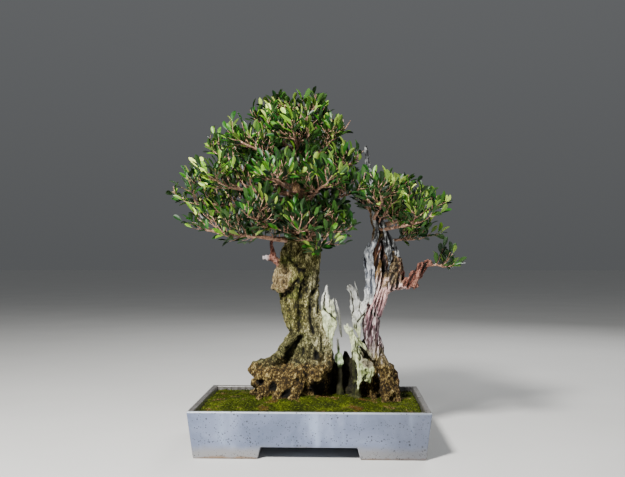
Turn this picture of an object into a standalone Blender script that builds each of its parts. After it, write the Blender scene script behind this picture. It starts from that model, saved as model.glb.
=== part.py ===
"""An old olive bonsai in a glazed rectangular pot, at its real size, in metres.

The origin is on the surface that the pot stands on, below the middle of the tree, with +Z up and +X to the
right as the tree is seen from its front. The tree stands in a mossy soil mound: a burled left trunk on a
gnarled root mass, a slender right trunk, and the split, bleached remains of the old stump between them.
Each limb with its twigs and leaves is one leafy spray.
"""

import math
import random

import bmesh
import bpy
from mathutils import Matrix, Vector, noise
from mathutils.bvhtree import BVHTree

MM = 0.001
SEAT_GAP = 0.3 * MM  # between solids that touch
UP = Vector((0.0, 0.0, 1.0))
GOLDEN_TURN = math.radians(137.5)
GOLDEN_SHARE = 0.618

# The pot: a tapered rectangular tray on four corner feet.
POT_LENGTH = 450 * MM
POT_WIDTH = 300 * MM
POT_HEIGHT = 88 * MM
POT_TAPER = 10.5 * MM  # how far each side leans in towards the foot
POT_WALL = 11 * MM
POT_FLOOR = 10 * MM
FOOT_HEIGHT = 22 * MM
EDGE_ROUNDING = 2.5 * MM
HOLLOW_ROUNDING = 5 * MM
HOLLOW_OVERSHOOT = 20 * MM
FRONT_ARCH = 178 * MM  # the gap between the feet, along the top of the cut
SIDE_ARCH = 112 * MM
ARCH_SPLAY = 11 * MM
DRAIN_OFFSET = 105 * MM
DRAIN_RADIUS = 13 * MM
FLOOR_TOP = FOOT_HEIGHT + POT_FLOOR

# The drain screens, which lie over the holes under the soil.
SCREEN_SIDE = 38 * MM
SCREEN_THICKNESS = 1.2 * MM
SCREEN_HOLES = 3
SCREEN_HOLE = 8 * MM

# The ground: soil with a moss mat on it, mounded under the tree.
GROUND_GRID = (8, 5)
GROUND_DROP = 9 * MM  # below the rim, along the pot's walls
SOIL_LEVEL = 72 * MM
MOUND_RISE = 13 * MM
MOUND_RADII = (190 * MM, 105 * MM)
MOSS_BUMP = 2.2 * MM
MOSS_BUMP_SIZE = 26 * MM

# The wood is merged from tubes and burls on a grid of this size, and then brought down to few faces.
WOOD_VOXEL = 2.6 * MM
DEAD_VOXEL = 2.0 * MM
LIVE_FACES = 2750
LEFT_DEAD_FACES = 220
RIGHT_DEAD_FACES = 440
JIN_FACES = 340
FOOT_LEVEL = SOIL_LEVEL + 2 * SEAT_GAP  # the wood is cut off flat here, under the moss
FOOT_CALM = (90 * MM, 108 * MM)  # below the first height, and less up to the second, the wood is smoothed
ROOT_PLUGS = ((-40 * MM, 0.0, 24 * MM), (154 * MM, 0.0, 13 * MM))  # thick roots that go on down into the soil
PLUG_DEPTH = 32 * MM
HOLE_TOP = 112 * MM  # the moss is cut with a plain, slightly larger copy of the wood below this height
HOLE_CLEARANCE = 3.5 * MM
HOLE_VOXEL = 4 * MM
HOLE_FACES = 420
GNARL_TOP = 165 * MM  # the roots are knotted below this height, and the trunks fluted above it
GNARL_DEPTH = 4.5 * MM
BARK_DEPTH = 1.4 * MM
GNARL_SIZE = 15 * MM

# Limbs, twigs and leaves.
LIMB_POINTS = 5
LIMB_CROOK = 0.05  # share of the limb's length
TWIG_RADIUS = 1.6 * MM
TWIG_TIP_RADIUS = 1.3 * MM
TWIG_TRIES = 9
LEAVES_PER_TWIG = (4, 4, 4, 3)
LEAF_LENGTH = 28 * MM
LEAF_WIDTH = 11 * MM
LEAF_THICKNESS = 1.3 * MM
LEAF_WIDEST = 0.6  # share of the length
LEAF_SPREAD = math.radians(40)
LEAF_TWIST = 0.9  # how far a blade may turn about its own line, in radians
LEAF_TRIES = 7

COLOURS = {
    "pot_glaze": ((0.36, 0.42, 0.50), 0.35),
    "drain_mesh": ((0.03, 0.03, 0.03), 0.6),
    "soil_grain": ((0.10, 0.06, 0.035), 0.95),
    "moss_green": ((0.10, 0.13, 0.02), 0.95),
    "olive_bark": ((0.20, 0.16, 0.09), 0.9),
    "bleached_wood": ((0.62, 0.61, 0.55), 0.8),
    "olive_leaf": ((0.12, 0.24, 0.05), 0.45),
}


def at(x, y, z):
    """A place given in millimetres."""
    return Vector((x, y, z)) * MM


def clear_scene():
    for item in list(bpy.data.objects):
        bpy.data.objects.remove(item, do_unlink=True)


def new_collection(name):
    collection = bpy.data.collections.new(name)
    bpy.context.scene.collection.children.link(collection)
    return collection


def principled(name):
    colour, roughness = COLOURS[name]
    material = bpy.data.materials.new(name)
    material.use_nodes = True
    shader = material.node_tree.nodes["Principled BSDF"]
    shader.inputs["Base Color"].default_value = (*colour, 1.0)
    shader.inputs["Roughness"].default_value = roughness
    shader.inputs["Metallic"].default_value = 0.0
    material.diffuse_color = (*colour, 1.0)
    return material


def place(name, mesh, collection, material=None):
    item = bpy.data.objects.new(name, mesh)
    collection.objects.link(item)
    if material:
        item.data.materials.clear()
        item.data.materials.append(material)
    return item


def mesh_of(item):
    """The evaluated mesh of an object, in world space, with a curve's loose caps welded to its sides."""
    graph = bpy.context.evaluated_depsgraph_get()
    mesh = bpy.data.meshes.new_from_object(item.evaluated_get(graph))
    mesh.transform(item.matrix_world)
    shape = bmesh.new()
    shape.from_mesh(mesh)
    bmesh.ops.remove_doubles(shape, verts=shape.verts, dist=0.01 * MM)
    bmesh.ops.recalc_face_normals(shape, faces=shape.faces)
    shape.to_mesh(mesh)
    shape.free()
    return mesh


def settle(item):
    """Applies all modifiers of an object to its mesh."""
    graph = bpy.context.evaluated_depsgraph_get()
    mesh = bpy.data.meshes.new_from_object(item.evaluated_get(graph))
    item.modifiers.clear()
    item.data = mesh
    return item


def smooth_route(points, count):
    """Places spaced along a smooth curve (Catmull-Rom) through the given points."""
    ends = [points[0] * 2 - points[1], *points, points[-1] * 2 - points[-2]]
    spans = len(points) - 1
    route = []
    for step in range(count):
        where = step / (count - 1) * spans
        span = min(int(where), spans - 1)
        t = where - span
        a, b, c, d = ends[span : span + 4]
        route.append(
            0.5 * (2 * b + (c - a) * t + (2 * a - 5 * b + 4 * c - d) * t**2 + (3 * b - a - 3 * c + d) * t**3)
        )
    return route


def smooth_radii(radii, count):
    """Radii read evenly along the given ones."""
    read = []
    for step in range(count):
        where = step / (count - 1) * (len(radii) - 1)
        low = min(int(where), len(radii) - 2)
        read.append(radii[low] + (radii[low + 1] - radii[low]) * (where - low))
    return read


def tube_mesh(points, radii, sides=8):
    """A closed tube along the points, whose radius varies from point to point."""
    curve = bpy.data.curves.new("tube", "CURVE")
    curve.dimensions = "3D"
    curve.bevel_depth = 1.0
    curve.use_fill_caps = True
    curve.bevel_mode = "ROUND"
    curve.bevel_resolution = max(0, sides // 2 - 2)
    spline = curve.splines.new("POLY")
    spline.points.add(len(points) - 1)
    for knot, point, radius in zip(spline.points, points, radii):
        knot.co = (*point, 1.0)
        knot.radius = radius
    item = bpy.data.objects.new("tube", curve)
    bpy.context.scene.collection.objects.link(item)
    bpy.context.view_layer.update()
    mesh = mesh_of(item)
    bpy.data.objects.remove(item, do_unlink=True)
    bpy.data.curves.remove(curve)
    return mesh


def strand(points, radii, steps=14, sides=8, flat=1.0):
    """A smooth tapering strand of wood: points and radii in millimetres. Flat thins it from front to back."""
    route = smooth_route([at(*point) for point in points], steps)
    mesh = tube_mesh(route, smooth_radii([radius * MM for radius in radii], steps), sides)
    middle = sum(point.y for point in route) / len(route)
    for vertex in mesh.vertices:
        vertex.co.y = middle + (vertex.co.y - middle) * flat
    return mesh


def burl(centre, radii):
    """A rounded lump of wood: centre and three radii in millimetres."""
    mesh = bpy.data.meshes.new("burl")
    shape = bmesh.new()
    bmesh.ops.create_icosphere(shape, subdivisions=2, radius=1.0)
    stretch = Matrix.Diagonal((*[radius * MM for radius in radii], 1.0))
    bmesh.ops.transform(shape, matrix=Matrix.Translation(at(*centre)) @ stretch, verts=shape.verts)
    shape.to_mesh(mesh)
    shape.free()
    return mesh


def merge_wood(name, meshes, voxel, collection, material):
    """One closed body of wood from overlapping closed meshes, by a voxel remesh."""
    shape = bmesh.new()
    for mesh in meshes:
        shape.from_mesh(mesh)
        bpy.data.meshes.remove(mesh)
    merged = bpy.data.meshes.new(name)
    shape.to_mesh(merged)
    shape.free()
    item = place(name, merged, collection, material)
    remesh = item.modifiers.new("merge", "REMESH")
    remesh.mode = "VOXEL"
    remesh.voxel_size = voxel
    relax = item.modifiers.new("relax", "SMOOTH")
    relax.factor = 0.5
    relax.iterations = 3
    return settle(item)


def roughen(mesh, gnarl, bark):
    """Knots the roots and flutes the trunks, by moving each point along its normal."""
    normals = [vertex.normal.copy() for vertex in mesh.vertices]
    for vertex, normal in zip(mesh.vertices, normals):
        low = max(0.0, min(1.0, (GNARL_TOP - vertex.co.z) / (60 * MM) + 0.5))
        knot = noise.fractal(vertex.co / GNARL_SIZE, 1.0, 2.0, 3)
        flute = noise.noise(Vector((vertex.co.x, vertex.co.y, vertex.co.z * 0.16)) / (11 * MM))
        vertex.co += normal * (low * gnarl * knot + (1 - low) * bark * flute)


def keep_largest(item):
    """Drops the scraps that a cut leaves behind, and keeps the body with the most points."""
    item.modifiers.clear()
    shape = bmesh.new()
    shape.from_mesh(item.data)
    shape.verts.ensure_lookup_table()
    left, largest = set(shape.verts), set()
    for start in shape.verts:
        if start not in left:
            continue
        body, edge = set(), [start]
        while edge:
            vertex = edge.pop()
            if vertex not in body:
                body.add(vertex)
                edge.extend(e.other_vert(vertex) for e in vertex.link_edges)
        left -= body
        if len(body) > len(largest):
            largest = body
    bmesh.ops.delete(shape, geom=[v for v in shape.verts if v not in largest], context="VERTS")
    shape.to_mesh(item.data)
    shape.free()
    return item


def reduce(item, faces):
    """Brings a mesh down to about this many triangles, and keeps its largest body."""
    thin = item.modifiers.new("reduce", "DECIMATE")
    thin.ratio = faces / sum(len(polygon.vertices) - 2 for polygon in item.data.polygons)
    thin.use_collapse_triangulate = True
    return keep_largest(settle(item))


def swollen(item, cutters):
    """A helper copy of a solid, grown by the seat gap, to cut its neighbours with."""
    helper = place(item.name + "_cutter", item.data.copy(), cutters)
    grow = helper.modifiers.new("grow", "DISPLACE")
    grow.strength = SEAT_GAP * 1.4
    grow.mid_level = 0.0
    grow.direction = "NORMAL"
    settle(helper)
    helper.hide_render = True
    helper.display_type = "WIRE"
    return helper


def merge_flat(item):
    """Merges faces that lie in one plane, after cuts have split them."""
    shape = bmesh.new()
    shape.from_mesh(item.data)
    bmesh.ops.dissolve_limit(shape, angle_limit=math.radians(0.3), verts=shape.verts, edges=shape.edges)
    bmesh.ops.triangulate(shape, faces=shape.faces)
    shape.to_mesh(item.data)
    shape.free()


def boolean(item, other, operation, solver="EXACT"):
    cut = item.modifiers.new("boolean", "BOOLEAN")
    cut.operation = operation
    cut.solver = solver
    if isinstance(other, bpy.types.Collection):
        cut.operand_type = "COLLECTION"
        cut.collection = other
    else:
        cut.object = other
    bpy.context.view_layer.update()
    return settle(item)


def box_mesh(size, centre, taper=0.0):
    """A box whose lower edges lie further in than its upper ones by the taper."""
    mesh = bpy.data.meshes.new("box")
    shape = bmesh.new()
    bmesh.ops.create_cube(shape, size=1.0)
    for vertex in shape.verts:
        inset = taper if vertex.co.z < 0 else 0.0
        vertex.co.x = math.copysign(size[0] / 2 - inset, vertex.co.x) + centre[0]
        vertex.co.y = math.copysign(size[1] / 2 - inset, vertex.co.y) + centre[1]
        vertex.co.z = vertex.co.z * size[2] + centre[2]
    shape.to_mesh(mesh)
    shape.free()
    return mesh


def helper(name, mesh, cutters):
    item = place(name, mesh, cutters)
    item.hide_render = True
    item.display_type = "WIRE"
    return item


def arch_cutter(name, width, length, along_x, cutters):
    """The gap between two feet: a bar with splayed sides that runs right through under the floor."""
    mesh = box_mesh((width + 2 * ARCH_SPLAY, length, FOOT_HEIGHT + 2 * MM), (0, 0, FOOT_HEIGHT / 2 - MM))
    for vertex in mesh.vertices:
        if vertex.co.z > 0:
            vertex.co.x -= math.copysign(ARCH_SPLAY, vertex.co.x)
    if along_x:
        mesh.transform(Matrix.Rotation(math.radians(90), 4, "Z"))
    return helper(name, mesh, cutters)


def make_pot(collection, cutters):
    outside = (POT_LENGTH, POT_WIDTH, POT_HEIGHT)
    block = box_mesh(outside, (0, 0, POT_HEIGHT / 2), POT_TAPER)
    pot = place("pot", block, collection, principled("pot_glaze"))
    slope = POT_TAPER / POT_HEIGHT
    depth = POT_HEIGHT - FLOOR_TOP + HOLLOW_OVERSHOOT
    length = POT_LENGTH - 2 * POT_WALL + 2 * slope * HOLLOW_OVERSHOOT
    width = POT_WIDTH - 2 * POT_WALL + 2 * slope * HOLLOW_OVERSHOOT
    cavity = box_mesh((length, width, depth), (0, 0, FLOOR_TOP + depth / 2), slope * depth)
    hollow = helper("pot_hollow", cavity, cutters)
    corner = hollow.modifiers.new("corner", "BEVEL")
    corner.width = HOLLOW_ROUNDING
    corner.segments = 2
    settle(hollow)
    boolean(pot, hollow, "DIFFERENCE")
    boolean(pot, arch_cutter("front_arch", FRONT_ARCH, POT_WIDTH * 1.2, False, cutters), "DIFFERENCE")
    boolean(pot, arch_cutter("side_arch", SIDE_ARCH, POT_LENGTH * 1.2, True, cutters), "DIFFERENCE")
    for side in (-1, 1):
        hole = bpy.data.meshes.new("drain")
        shape = bmesh.new()
        bmesh.ops.create_cone(
            shape, cap_ends=True, segments=12, radius1=DRAIN_RADIUS, radius2=DRAIN_RADIUS, depth=4 * POT_FLOOR
        )
        bmesh.ops.translate(shape, verts=shape.verts, vec=(side * DRAIN_OFFSET, 0, FOOT_HEIGHT))
        shape.to_mesh(hole)
        shape.free()
        boolean(pot, helper("drain_cutter", hole, cutters), "DIFFERENCE")
    edges = pot.modifiers.new("edges", "BEVEL")
    edges.width = EDGE_ROUNDING
    edges.segments = 1
    edges.limit_method = "ANGLE"
    edges.angle_limit = math.radians(60)
    merge_flat(settle(pot))


def make_screens(collection, cutters):
    """The two plastic screens, each a square sheet with a grid of square holes."""
    material = principled("drain_mesh")
    pitch = SCREEN_SIDE / SCREEN_HOLES
    for number, side in enumerate((-1, 1), start=1):
        middle = (side * DRAIN_OFFSET, 0, FLOOR_TOP + SEAT_GAP + SCREEN_THICKNESS / 2)
        screen = place(
            f"drain_screen_{number}",
            box_mesh((SCREEN_SIDE, SCREEN_SIDE, SCREEN_THICKNESS), middle),
            collection,
            material,
        )
        grid = new_collection("screen_holes")
        for row in range(SCREEN_HOLES):
            for column in range(SCREEN_HOLES):
                offset_x = (column - (SCREEN_HOLES - 1) / 2) * pitch
                offset_y = (row - (SCREEN_HOLES - 1) / 2) * pitch
                hole = box_mesh(
                    (SCREEN_HOLE, SCREEN_HOLE, 4 * SCREEN_THICKNESS),
                    (middle[0] + offset_x, middle[1] + offset_y, middle[2]),
                )
                place("screen_hole", hole, grid)
        boolean(screen, grid, "DIFFERENCE")
        for hole in list(grid.objects):
            bpy.data.objects.remove(hole, do_unlink=True)
        bpy.data.collections.remove(grid)
        recess_size = (SCREEN_SIDE + MM, SCREEN_SIDE + MM, 2 * (SCREEN_THICKNESS + 2 * SEAT_GAP))
        helper(f"screen_recess_{number}", box_mesh(recess_size, (middle[0], middle[1], FLOOR_TOP)), cutters)


def ground_height(x, y):
    """The top of the moss above the table, at a place in the pot."""
    reach = math.hypot((x - 15 * MM) / MOUND_RADII[0], y / MOUND_RADII[1])
    mound = MOUND_RISE * math.exp(-(reach**2) * 1.3)
    bump = MOSS_BUMP * noise.noise(Vector((x, y, 0.0)) / MOSS_BUMP_SIZE)
    return POT_HEIGHT - GROUND_DROP + mound + bump


def ground_layer(name, top, bottom, columns, rows, cutters):
    """A closed layer between two heights: an extruded grid over the pot, trimmed to fit in its hollow."""
    mesh = bpy.data.meshes.new(name)
    shape = bmesh.new()
    bmesh.ops.create_grid(shape, x_segments=columns, y_segments=rows, size=1.0)
    lower = list(shape.verts)
    extruded = bmesh.ops.extrude_face_region(shape, geom=shape.faces[:])
    upper = [item for item in extruded["geom"] if isinstance(item, bmesh.types.BMVert)]
    for vertices, height in ((lower, bottom), (upper, top)):
        for vertex in vertices:
            x = vertex.co.x * (POT_LENGTH - POT_WALL) / 2
            y = vertex.co.y * (POT_WIDTH - POT_WALL) / 2
            vertex.co = Vector((x, y, height(x, y)))
    bmesh.ops.recalc_face_normals(shape, faces=shape.faces)
    shape.to_mesh(mesh)
    shape.free()
    room = helper(name + "_room", bpy.data.objects["pot_hollow"].data.copy(), cutters)
    shrink = room.modifiers.new("shrink", "DISPLACE")
    shrink.strength = -1.5 * SEAT_GAP
    shrink.mid_level = 0.0
    settle(room)
    return mesh, room


def make_ground(collection, cutters):
    """Flat soil that fills the pot, and the mound over it with its moss."""
    made = []
    for name, material, top, bottom, grid in (
        ("soil", "soil_grain", lambda x, y: SOIL_LEVEL, lambda x, y: FLOOR_TOP - MM, (1, 1)),
        ("moss", "moss_green", ground_height, lambda x, y: SOIL_LEVEL + SEAT_GAP, GROUND_GRID),
    ):
        mesh, room = ground_layer(name, top, bottom, *grid, cutters)
        layer = place(name, mesh, collection, principled(material))
        made.append(boolean(layer, room, "INTERSECT"))
    for number in (1, 2):
        boolean(made[0], bpy.data.objects[f"screen_recess_{number}"], "DIFFERENCE")
    return made


def fluted_trunk(route, radii, ribs, share, lean):
    """A trunk with lengthwise ribs: a core, and thinner strands that wind slowly round it."""
    parts = [strand(route, [radius * 0.86 for radius in radii], steps=26, sides=12)]
    for rib in range(ribs):
        turn = 2 * math.pi * rib / ribs + lean
        line = []
        for step, (point, radius) in enumerate(zip(route, radii)):
            angle = turn + 0.13 * step
            reach = radius * (1 - share) * (1.0 + 0.10 * math.sin(2.1 * rib + 0.9 * step))
            line.append((point[0] + reach * math.cos(angle), point[1] + reach * math.sin(angle), point[2]))
        parts.append(strand(line, [radius * share for radius in radii], steps=26, sides=8))
    return parts


def left_trunk():
    """The burled trunk, its root mass and the arched bark ridge on its left."""
    route = [
        (-26, 4, 60), (-10, 5, 128), (1, 5, 176), (-7, 5, 214), (-20, 5, 246), (-25, 4, 276),
        (-27, 3, 315), (-24, 3, 355), (-20, 4, 396), (-24, 5, 436), (-28, 5, 477), (-22, 6, 518),
        (-18, 5, 559), (-28, 4, 600), (-41, 3, 641),
    ]  # fmt: skip
    radii = [46, 38, 36, 37, 38, 39, 42, 42, 40, 33, 26, 18, 11, 7, 4]
    parts = fluted_trunk(route, radii, ribs=7, share=0.36, lean=0.4)
    parts.append(burl((-60, -4, 328), (19, 26, 24)))
    parts.append(burl((-64, -12, 308), (17, 18, 15)))
    parts.append(burl((-46, -30, 328), (15, 12, 13)))
    parts.append(burl((-60, -24, 318), (13, 14, 12)))
    parts.append(burl((-50, -30, 308), (11, 10, 9)))
    parts.append(burl((-58, -12, 348), (14, 17, 17)))
    parts.append(burl((-50, 20, 366), (15, 17, 20)))
    parts.append(burl((-8, 30, 300), (22, 18, 34)))
    flare = [(4, -14, 380), (10, -14, 320), (10, -14, 268), (22, -12, 222), (31, -10, 190), (32, -8, 162)]
    parts.append(strand(flare, [9, 8, 8, 10, 12, 9]))
    parts.append(strand([(-26, -26, 226), (-42, -20, 204), (-57, -14, 186), (-64, -12, 168)], [6, 7, 8, 11]))
    parts.append(strand([(-62, -10, 178), (-84, -8, 160), (-106, -6, 152), (-116, -4, 138)], [8, 11, 13, 16]))
    parts.append(strand([(-10, 0, 150), (-55, -8, 128), (-96, -8, 138), (-108, -4, 136)], [30, 24, 19, 17]))
    parts.append(strand([(-16, -12, 150), (-44, -28, 118), (-62, -34, 94), (-70, -36, 60)], [26, 19, 15, 12]))
    parts.append(strand([(-60, -10, 130), (-92, -14, 104), (-108, -10, 60)], [22, 17, 13]))
    parts.append(strand([(-20, -20, 140), (-18, -34, 116), (-6, -40, 96), (4, -44, 60)], [17, 12, 9, 9]))
    parts.append(strand([(-20, -16, 134), (-34, -38, 98), (-38, -44, 60)], [20, 14, 12]))
    parts.append(strand([(0, -6, 168), (10, -20, 142), (9, -26, 134)], [20, 18, 12]))
    parts.append(burl((31, -8, 156), (13, 14, 18)))
    parts.append(strand([(-20, 16, 140), (-46, 38, 106), (-62, 46, 60)], [26, 19, 13]))
    parts.append(strand([(-8, 20, 140), (2, 48, 106), (6, 60, 60)], [24, 17, 12]))
    parts.append(strand([(-60, 4, 128), (-96, 14, 104), (-116, 20, 60)], [18, 14, 12]))
    knots = random.Random(11)
    for _ in range(34):
        x = knots.uniform(-122, 26)
        y = knots.uniform(-38, 40)
        z = 140 - 0.24 * abs(x + 20) - 0.5 * abs(y) + knots.uniform(-26, 8)
        size = knots.uniform(7, 13)
        parts.append(burl((x, y, max(z, 90)), (size, size, size * 0.8)))
    return parts


def right_trunk():
    """The slender live trunk with its shoulder, its low branch and its foot."""
    route = [
        (164, -6, 60), (156, -5, 112), (145, -4, 142), (131, -2, 178), (121, 0, 212), (119, 0, 240),
        (126, 0, 266), (134, 0, 296), (136, 2, 326), (134, 3, 356), (134, 4, 386), (136, 5, 416),
        (130, 6, 446), (121, 6, 476), (117, 6, 500),
    ]  # fmt: skip
    radii = [19, 17, 16, 17, 17, 17, 18, 20, 21, 19, 17, 14, 11, 8, 4]
    parts = fluted_trunk(route, radii, ribs=5, share=0.42, lean=0.9)
    parts.append(strand([(140, 0, 312), (160, -2, 322), (170, -2, 340), (170, 0, 366)], [17, 17, 16, 9]))
    parts.append(strand([(160, -4, 318), (182, -8, 318), (198, -10, 322), (210, -10, 338)], [13, 11, 12, 11]))
    parts.append(strand([(208, -10, 334), (219, -10, 350), (238, -11, 362)], [11, 9, 5]))
    parts.append(burl((203, -12, 316), (10, 9, 8)))
    parts.append(strand([(150, 0, 150), (166, 14, 114), (174, 24, 60)], [14, 11, 10]))
    parts.append(strand([(150, -4, 140), (146, -20, 108), (149, -28, 60)], [12, 11, 10]))
    return parts


def stump_wall():
    """The back of the old hollow stump, which joins the two trunks: upright ribs side by side."""
    ribs = [
        (22, 30, 196, 17), (38, 44, 178, 13), (54, 50, 164, 12), (71, 50, 176, 12),
        (88, 42, 184, 13), (104, 30, 204, 13), (120, 18, 196, 14),
    ]  # fmt: skip
    parts = []
    for number, (x, y, top, radius) in enumerate(ribs):
        lean = 3 * math.sin(2.4 * number)
        parts.append(
            strand([(x, y + 6, 60), (x + lean, y + 2, 120), (x, y, top - 24), (x - lean, y, top)],
                   [radius * 1.2, radius, radius * 0.8, radius * 0.3])
        )
    parts.append(strand([(-10, 24, 92), (40, 46, 90), (90, 40, 90), (140, 12, 92)], [22, 19, 19, 20]))
    return parts


def left_stub():
    """The short broken branch under the crown: one prong is dead, the other carries on up."""
    return [
        strand([(-50, -4, 356), (-68, -6, 362), (-78, -8, 370)], [9, 7, 6]),
        strand([(-76, -8, 368), (-88, -9, 370), (-98, -9, 369)], [6, 5, 4]),
        strand([(-76, -8, 368), (-80, -8, 382), (-82, -8, 398), (-74, -9, 414)], [6, 5, 4, 3]),
    ]


def calm_foot(item):
    """Smooths the wood where it meets the moss."""
    low, high = FOOT_CALM
    group = item.vertex_groups.new(name="foot")
    for vertex in item.data.vertices:
        weight = max(0.0, min(1.0, (high - vertex.co.z) / (high - low)))
        group.add([vertex.index], weight, "REPLACE")
    calm = item.modifiers.new("calm", "SMOOTH")
    calm.factor = 0.8
    calm.iterations = 60
    calm.vertex_group = "foot"
    settle(item)
    item.vertex_groups.clear()


def cut_foot(item):
    """Cuts the wood off flat a little way into the soil."""
    shape = bmesh.new()
    shape.from_mesh(item.data)
    everything = shape.verts[:] + shape.edges[:] + shape.faces[:]
    cut = bmesh.ops.bisect_plane(shape, geom=everything, plane_co=(0, 0, FOOT_LEVEL), plane_no=(0, 0, -1),
                                 clear_outer=True)
    rim = [edge for edge in cut["geom_cut"] if isinstance(edge, bmesh.types.BMEdge)]
    bmesh.ops.holes_fill(shape, edges=rim, sides=0)
    bmesh.ops.recalc_face_normals(shape, faces=shape.faces)
    shape.to_mesh(item.data)
    shape.free()


def make_live_wood(collection):
    parts = left_trunk() + right_trunk() + stump_wall() + left_stub()
    wood = merge_wood("live_wood", parts, WOOD_VOXEL, collection, principled("olive_bark"))
    roughen(wood.data, GNARL_DEPTH, BARK_DEPTH)
    calm_foot(wood)
    reduce(wood, LIVE_FACES)
    cut_foot(wood)
    plugs = new_collection("root_plugs")
    for x, y, radius in ROOT_PLUGS:
        mesh = bpy.data.meshes.new("plug")
        shape = bmesh.new()
        bmesh.ops.create_cone(
            shape, cap_ends=True, segments=7, radius1=radius * 0.6, radius2=radius, depth=PLUG_DEPTH
        )
        bmesh.ops.translate(shape, verts=shape.verts, vec=(x, y, FOOT_LEVEL + 6 * MM - PLUG_DEPTH / 2))
        shape.to_mesh(mesh)
        shape.free()
        place("plug", mesh, plugs)
    boolean(wood, plugs, "UNION", "MANIFOLD")
    for plug in list(plugs.objects):
        bpy.data.objects.remove(plug, do_unlink=True)
    bpy.data.collections.remove(plugs)
    return keep_largest(wood)


def make_deadwood(collection, cutters, live):
    """The bleached remains of the stump, each cut to seat against the live wood."""
    material = principled("bleached_wood")
    left_shard = [
        strand([(39, -14, 188), (34, -14, 222), (33, -14, 246), (32, -14, 262)], [5, 14, 16, 12], flat=0.45),
        strand([(26, -13, 250), (25, -13, 282), (26, -12, 302), (28, -11, 320)], [9, 8, 5, 1.5], flat=0.7),
        strand([(40, -13, 246), (43, -13, 264), (44, -12, 276), (45, -11, 290)], [9, 7, 4, 1.5], flat=0.7),
    ]
    right_shards = [
        strand([(69, -7, 315), (77, -8, 301), (81, -8, 278), (86, -8, 250), (95, -8, 216), (103, -8, 190)],
               [4, 7, 10, 11, 8, 6], flat=0.6),
        strand([(87, -5, 322), (90, -6, 304), (95, -8, 276), (95, -8, 244)], [1.5, 4, 10, 12], flat=0.6),
        strand([(112, -9, 284), (108, -9, 270), (102, -8, 254), (97, -8, 228)], [3, 8, 10, 7], flat=0.6),
        strand([(64, -19, 235), (72, -20, 225), (82, -20, 210), (90, -20, 188), (103, -20, 168),
                (122, -20, 148)],
               [3, 8, 11, 12, 12, 8], flat=0.7),
        strand([(92, -14, 212), (108, -18, 190), (124, -18, 166)], [3, 4, 5]),
        strand([(110, -22, 162), (114, -24, 138), (108, -25, 114), (104, -24, 104)], [9, 11, 8, 4]),
        strand([(124, -20, 156), (126, -22, 138), (119, -23, 122)], [8, 8, 3]),
        strand([(84, -12, 190), (88, -10, 150), (90, -8, 118), (91, -8, 66)], [7, 8, 11, 13], flat=0.8),
        strand([(88, -6, 108), (74, 6, 100), (62, 16, 98), (56, 22, 100)], [10, 9, 9, 8]),
        strand([(47, 14, 286), (56, 15, 250), (60, 16, 214), (58, 18, 176), (56, 20, 130), (58, 18, 100)],
               [1.5, 3.5, 4, 5, 7, 9]),
        burl((56, 12, 162), (10, 9, 14)),
        strand([(54, 14, 204), (55, 16, 176)], [2.5, 5]),
    ]
    jin = [
        strand([(110, 4, 598), (112, 4, 570), (115, 3, 540), (118, -2, 512), (121, -7, 488), (126, -9, 466)],
               [1.5, 3.5, 5.5, 6, 6, 7]),
        strand([(126, -9, 470), (136, -12, 450), (147, -13, 424), (159, -12, 402), (168, -8, 382),
                (170, -6, 356)],
               [6, 7, 7, 8, 9, 9]),
        strand([(124, -6, 462), (128, -12, 440), (130, -14, 416), (124, -16, 396), (116, -16, 384)],
               [4, 5, 5, 6, 6]),
        strand([(118, -15, 394), (111, -15, 366), (114, -16, 332), (115, -16, 300), (112, -14, 276)],
               [6, 10, 11, 9, 3]),
        strand([(110, -13, 388), (104, -14, 364), (108, -16, 340)], [2.5, 3, 3]),
        strand([(138, -12, 448), (146, -16, 458), (152, -18, 466)], [5, 3.5, 1.5]),
        strand([(150, -13, 420), (148, -14, 400), (150, -12, 380)], [5, 6, 4]),
    ]
    cutter = swollen(live, cutters)
    made = []
    groups = (
        ("deadwood_left_shard", left_shard, LEFT_DEAD_FACES),
        ("deadwood_right_shards", right_shards, RIGHT_DEAD_FACES),
        ("deadwood_jin", jin, JIN_FACES),
    )
    for name, parts, faces in groups:
        dead = merge_wood(name, parts, DEAD_VOXEL, collection, material)
        reduce(dead, faces)
        cut_foot(dead)
        boolean(dead, cutter, "DIFFERENCE", "MANIFOLD")
        for other in made:
            boolean(dead, swollen(other, cutters), "DIFFERENCE", "MANIFOLD")
        keep_largest(dead)
        made.append(dead)
    return cutter, made


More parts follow.
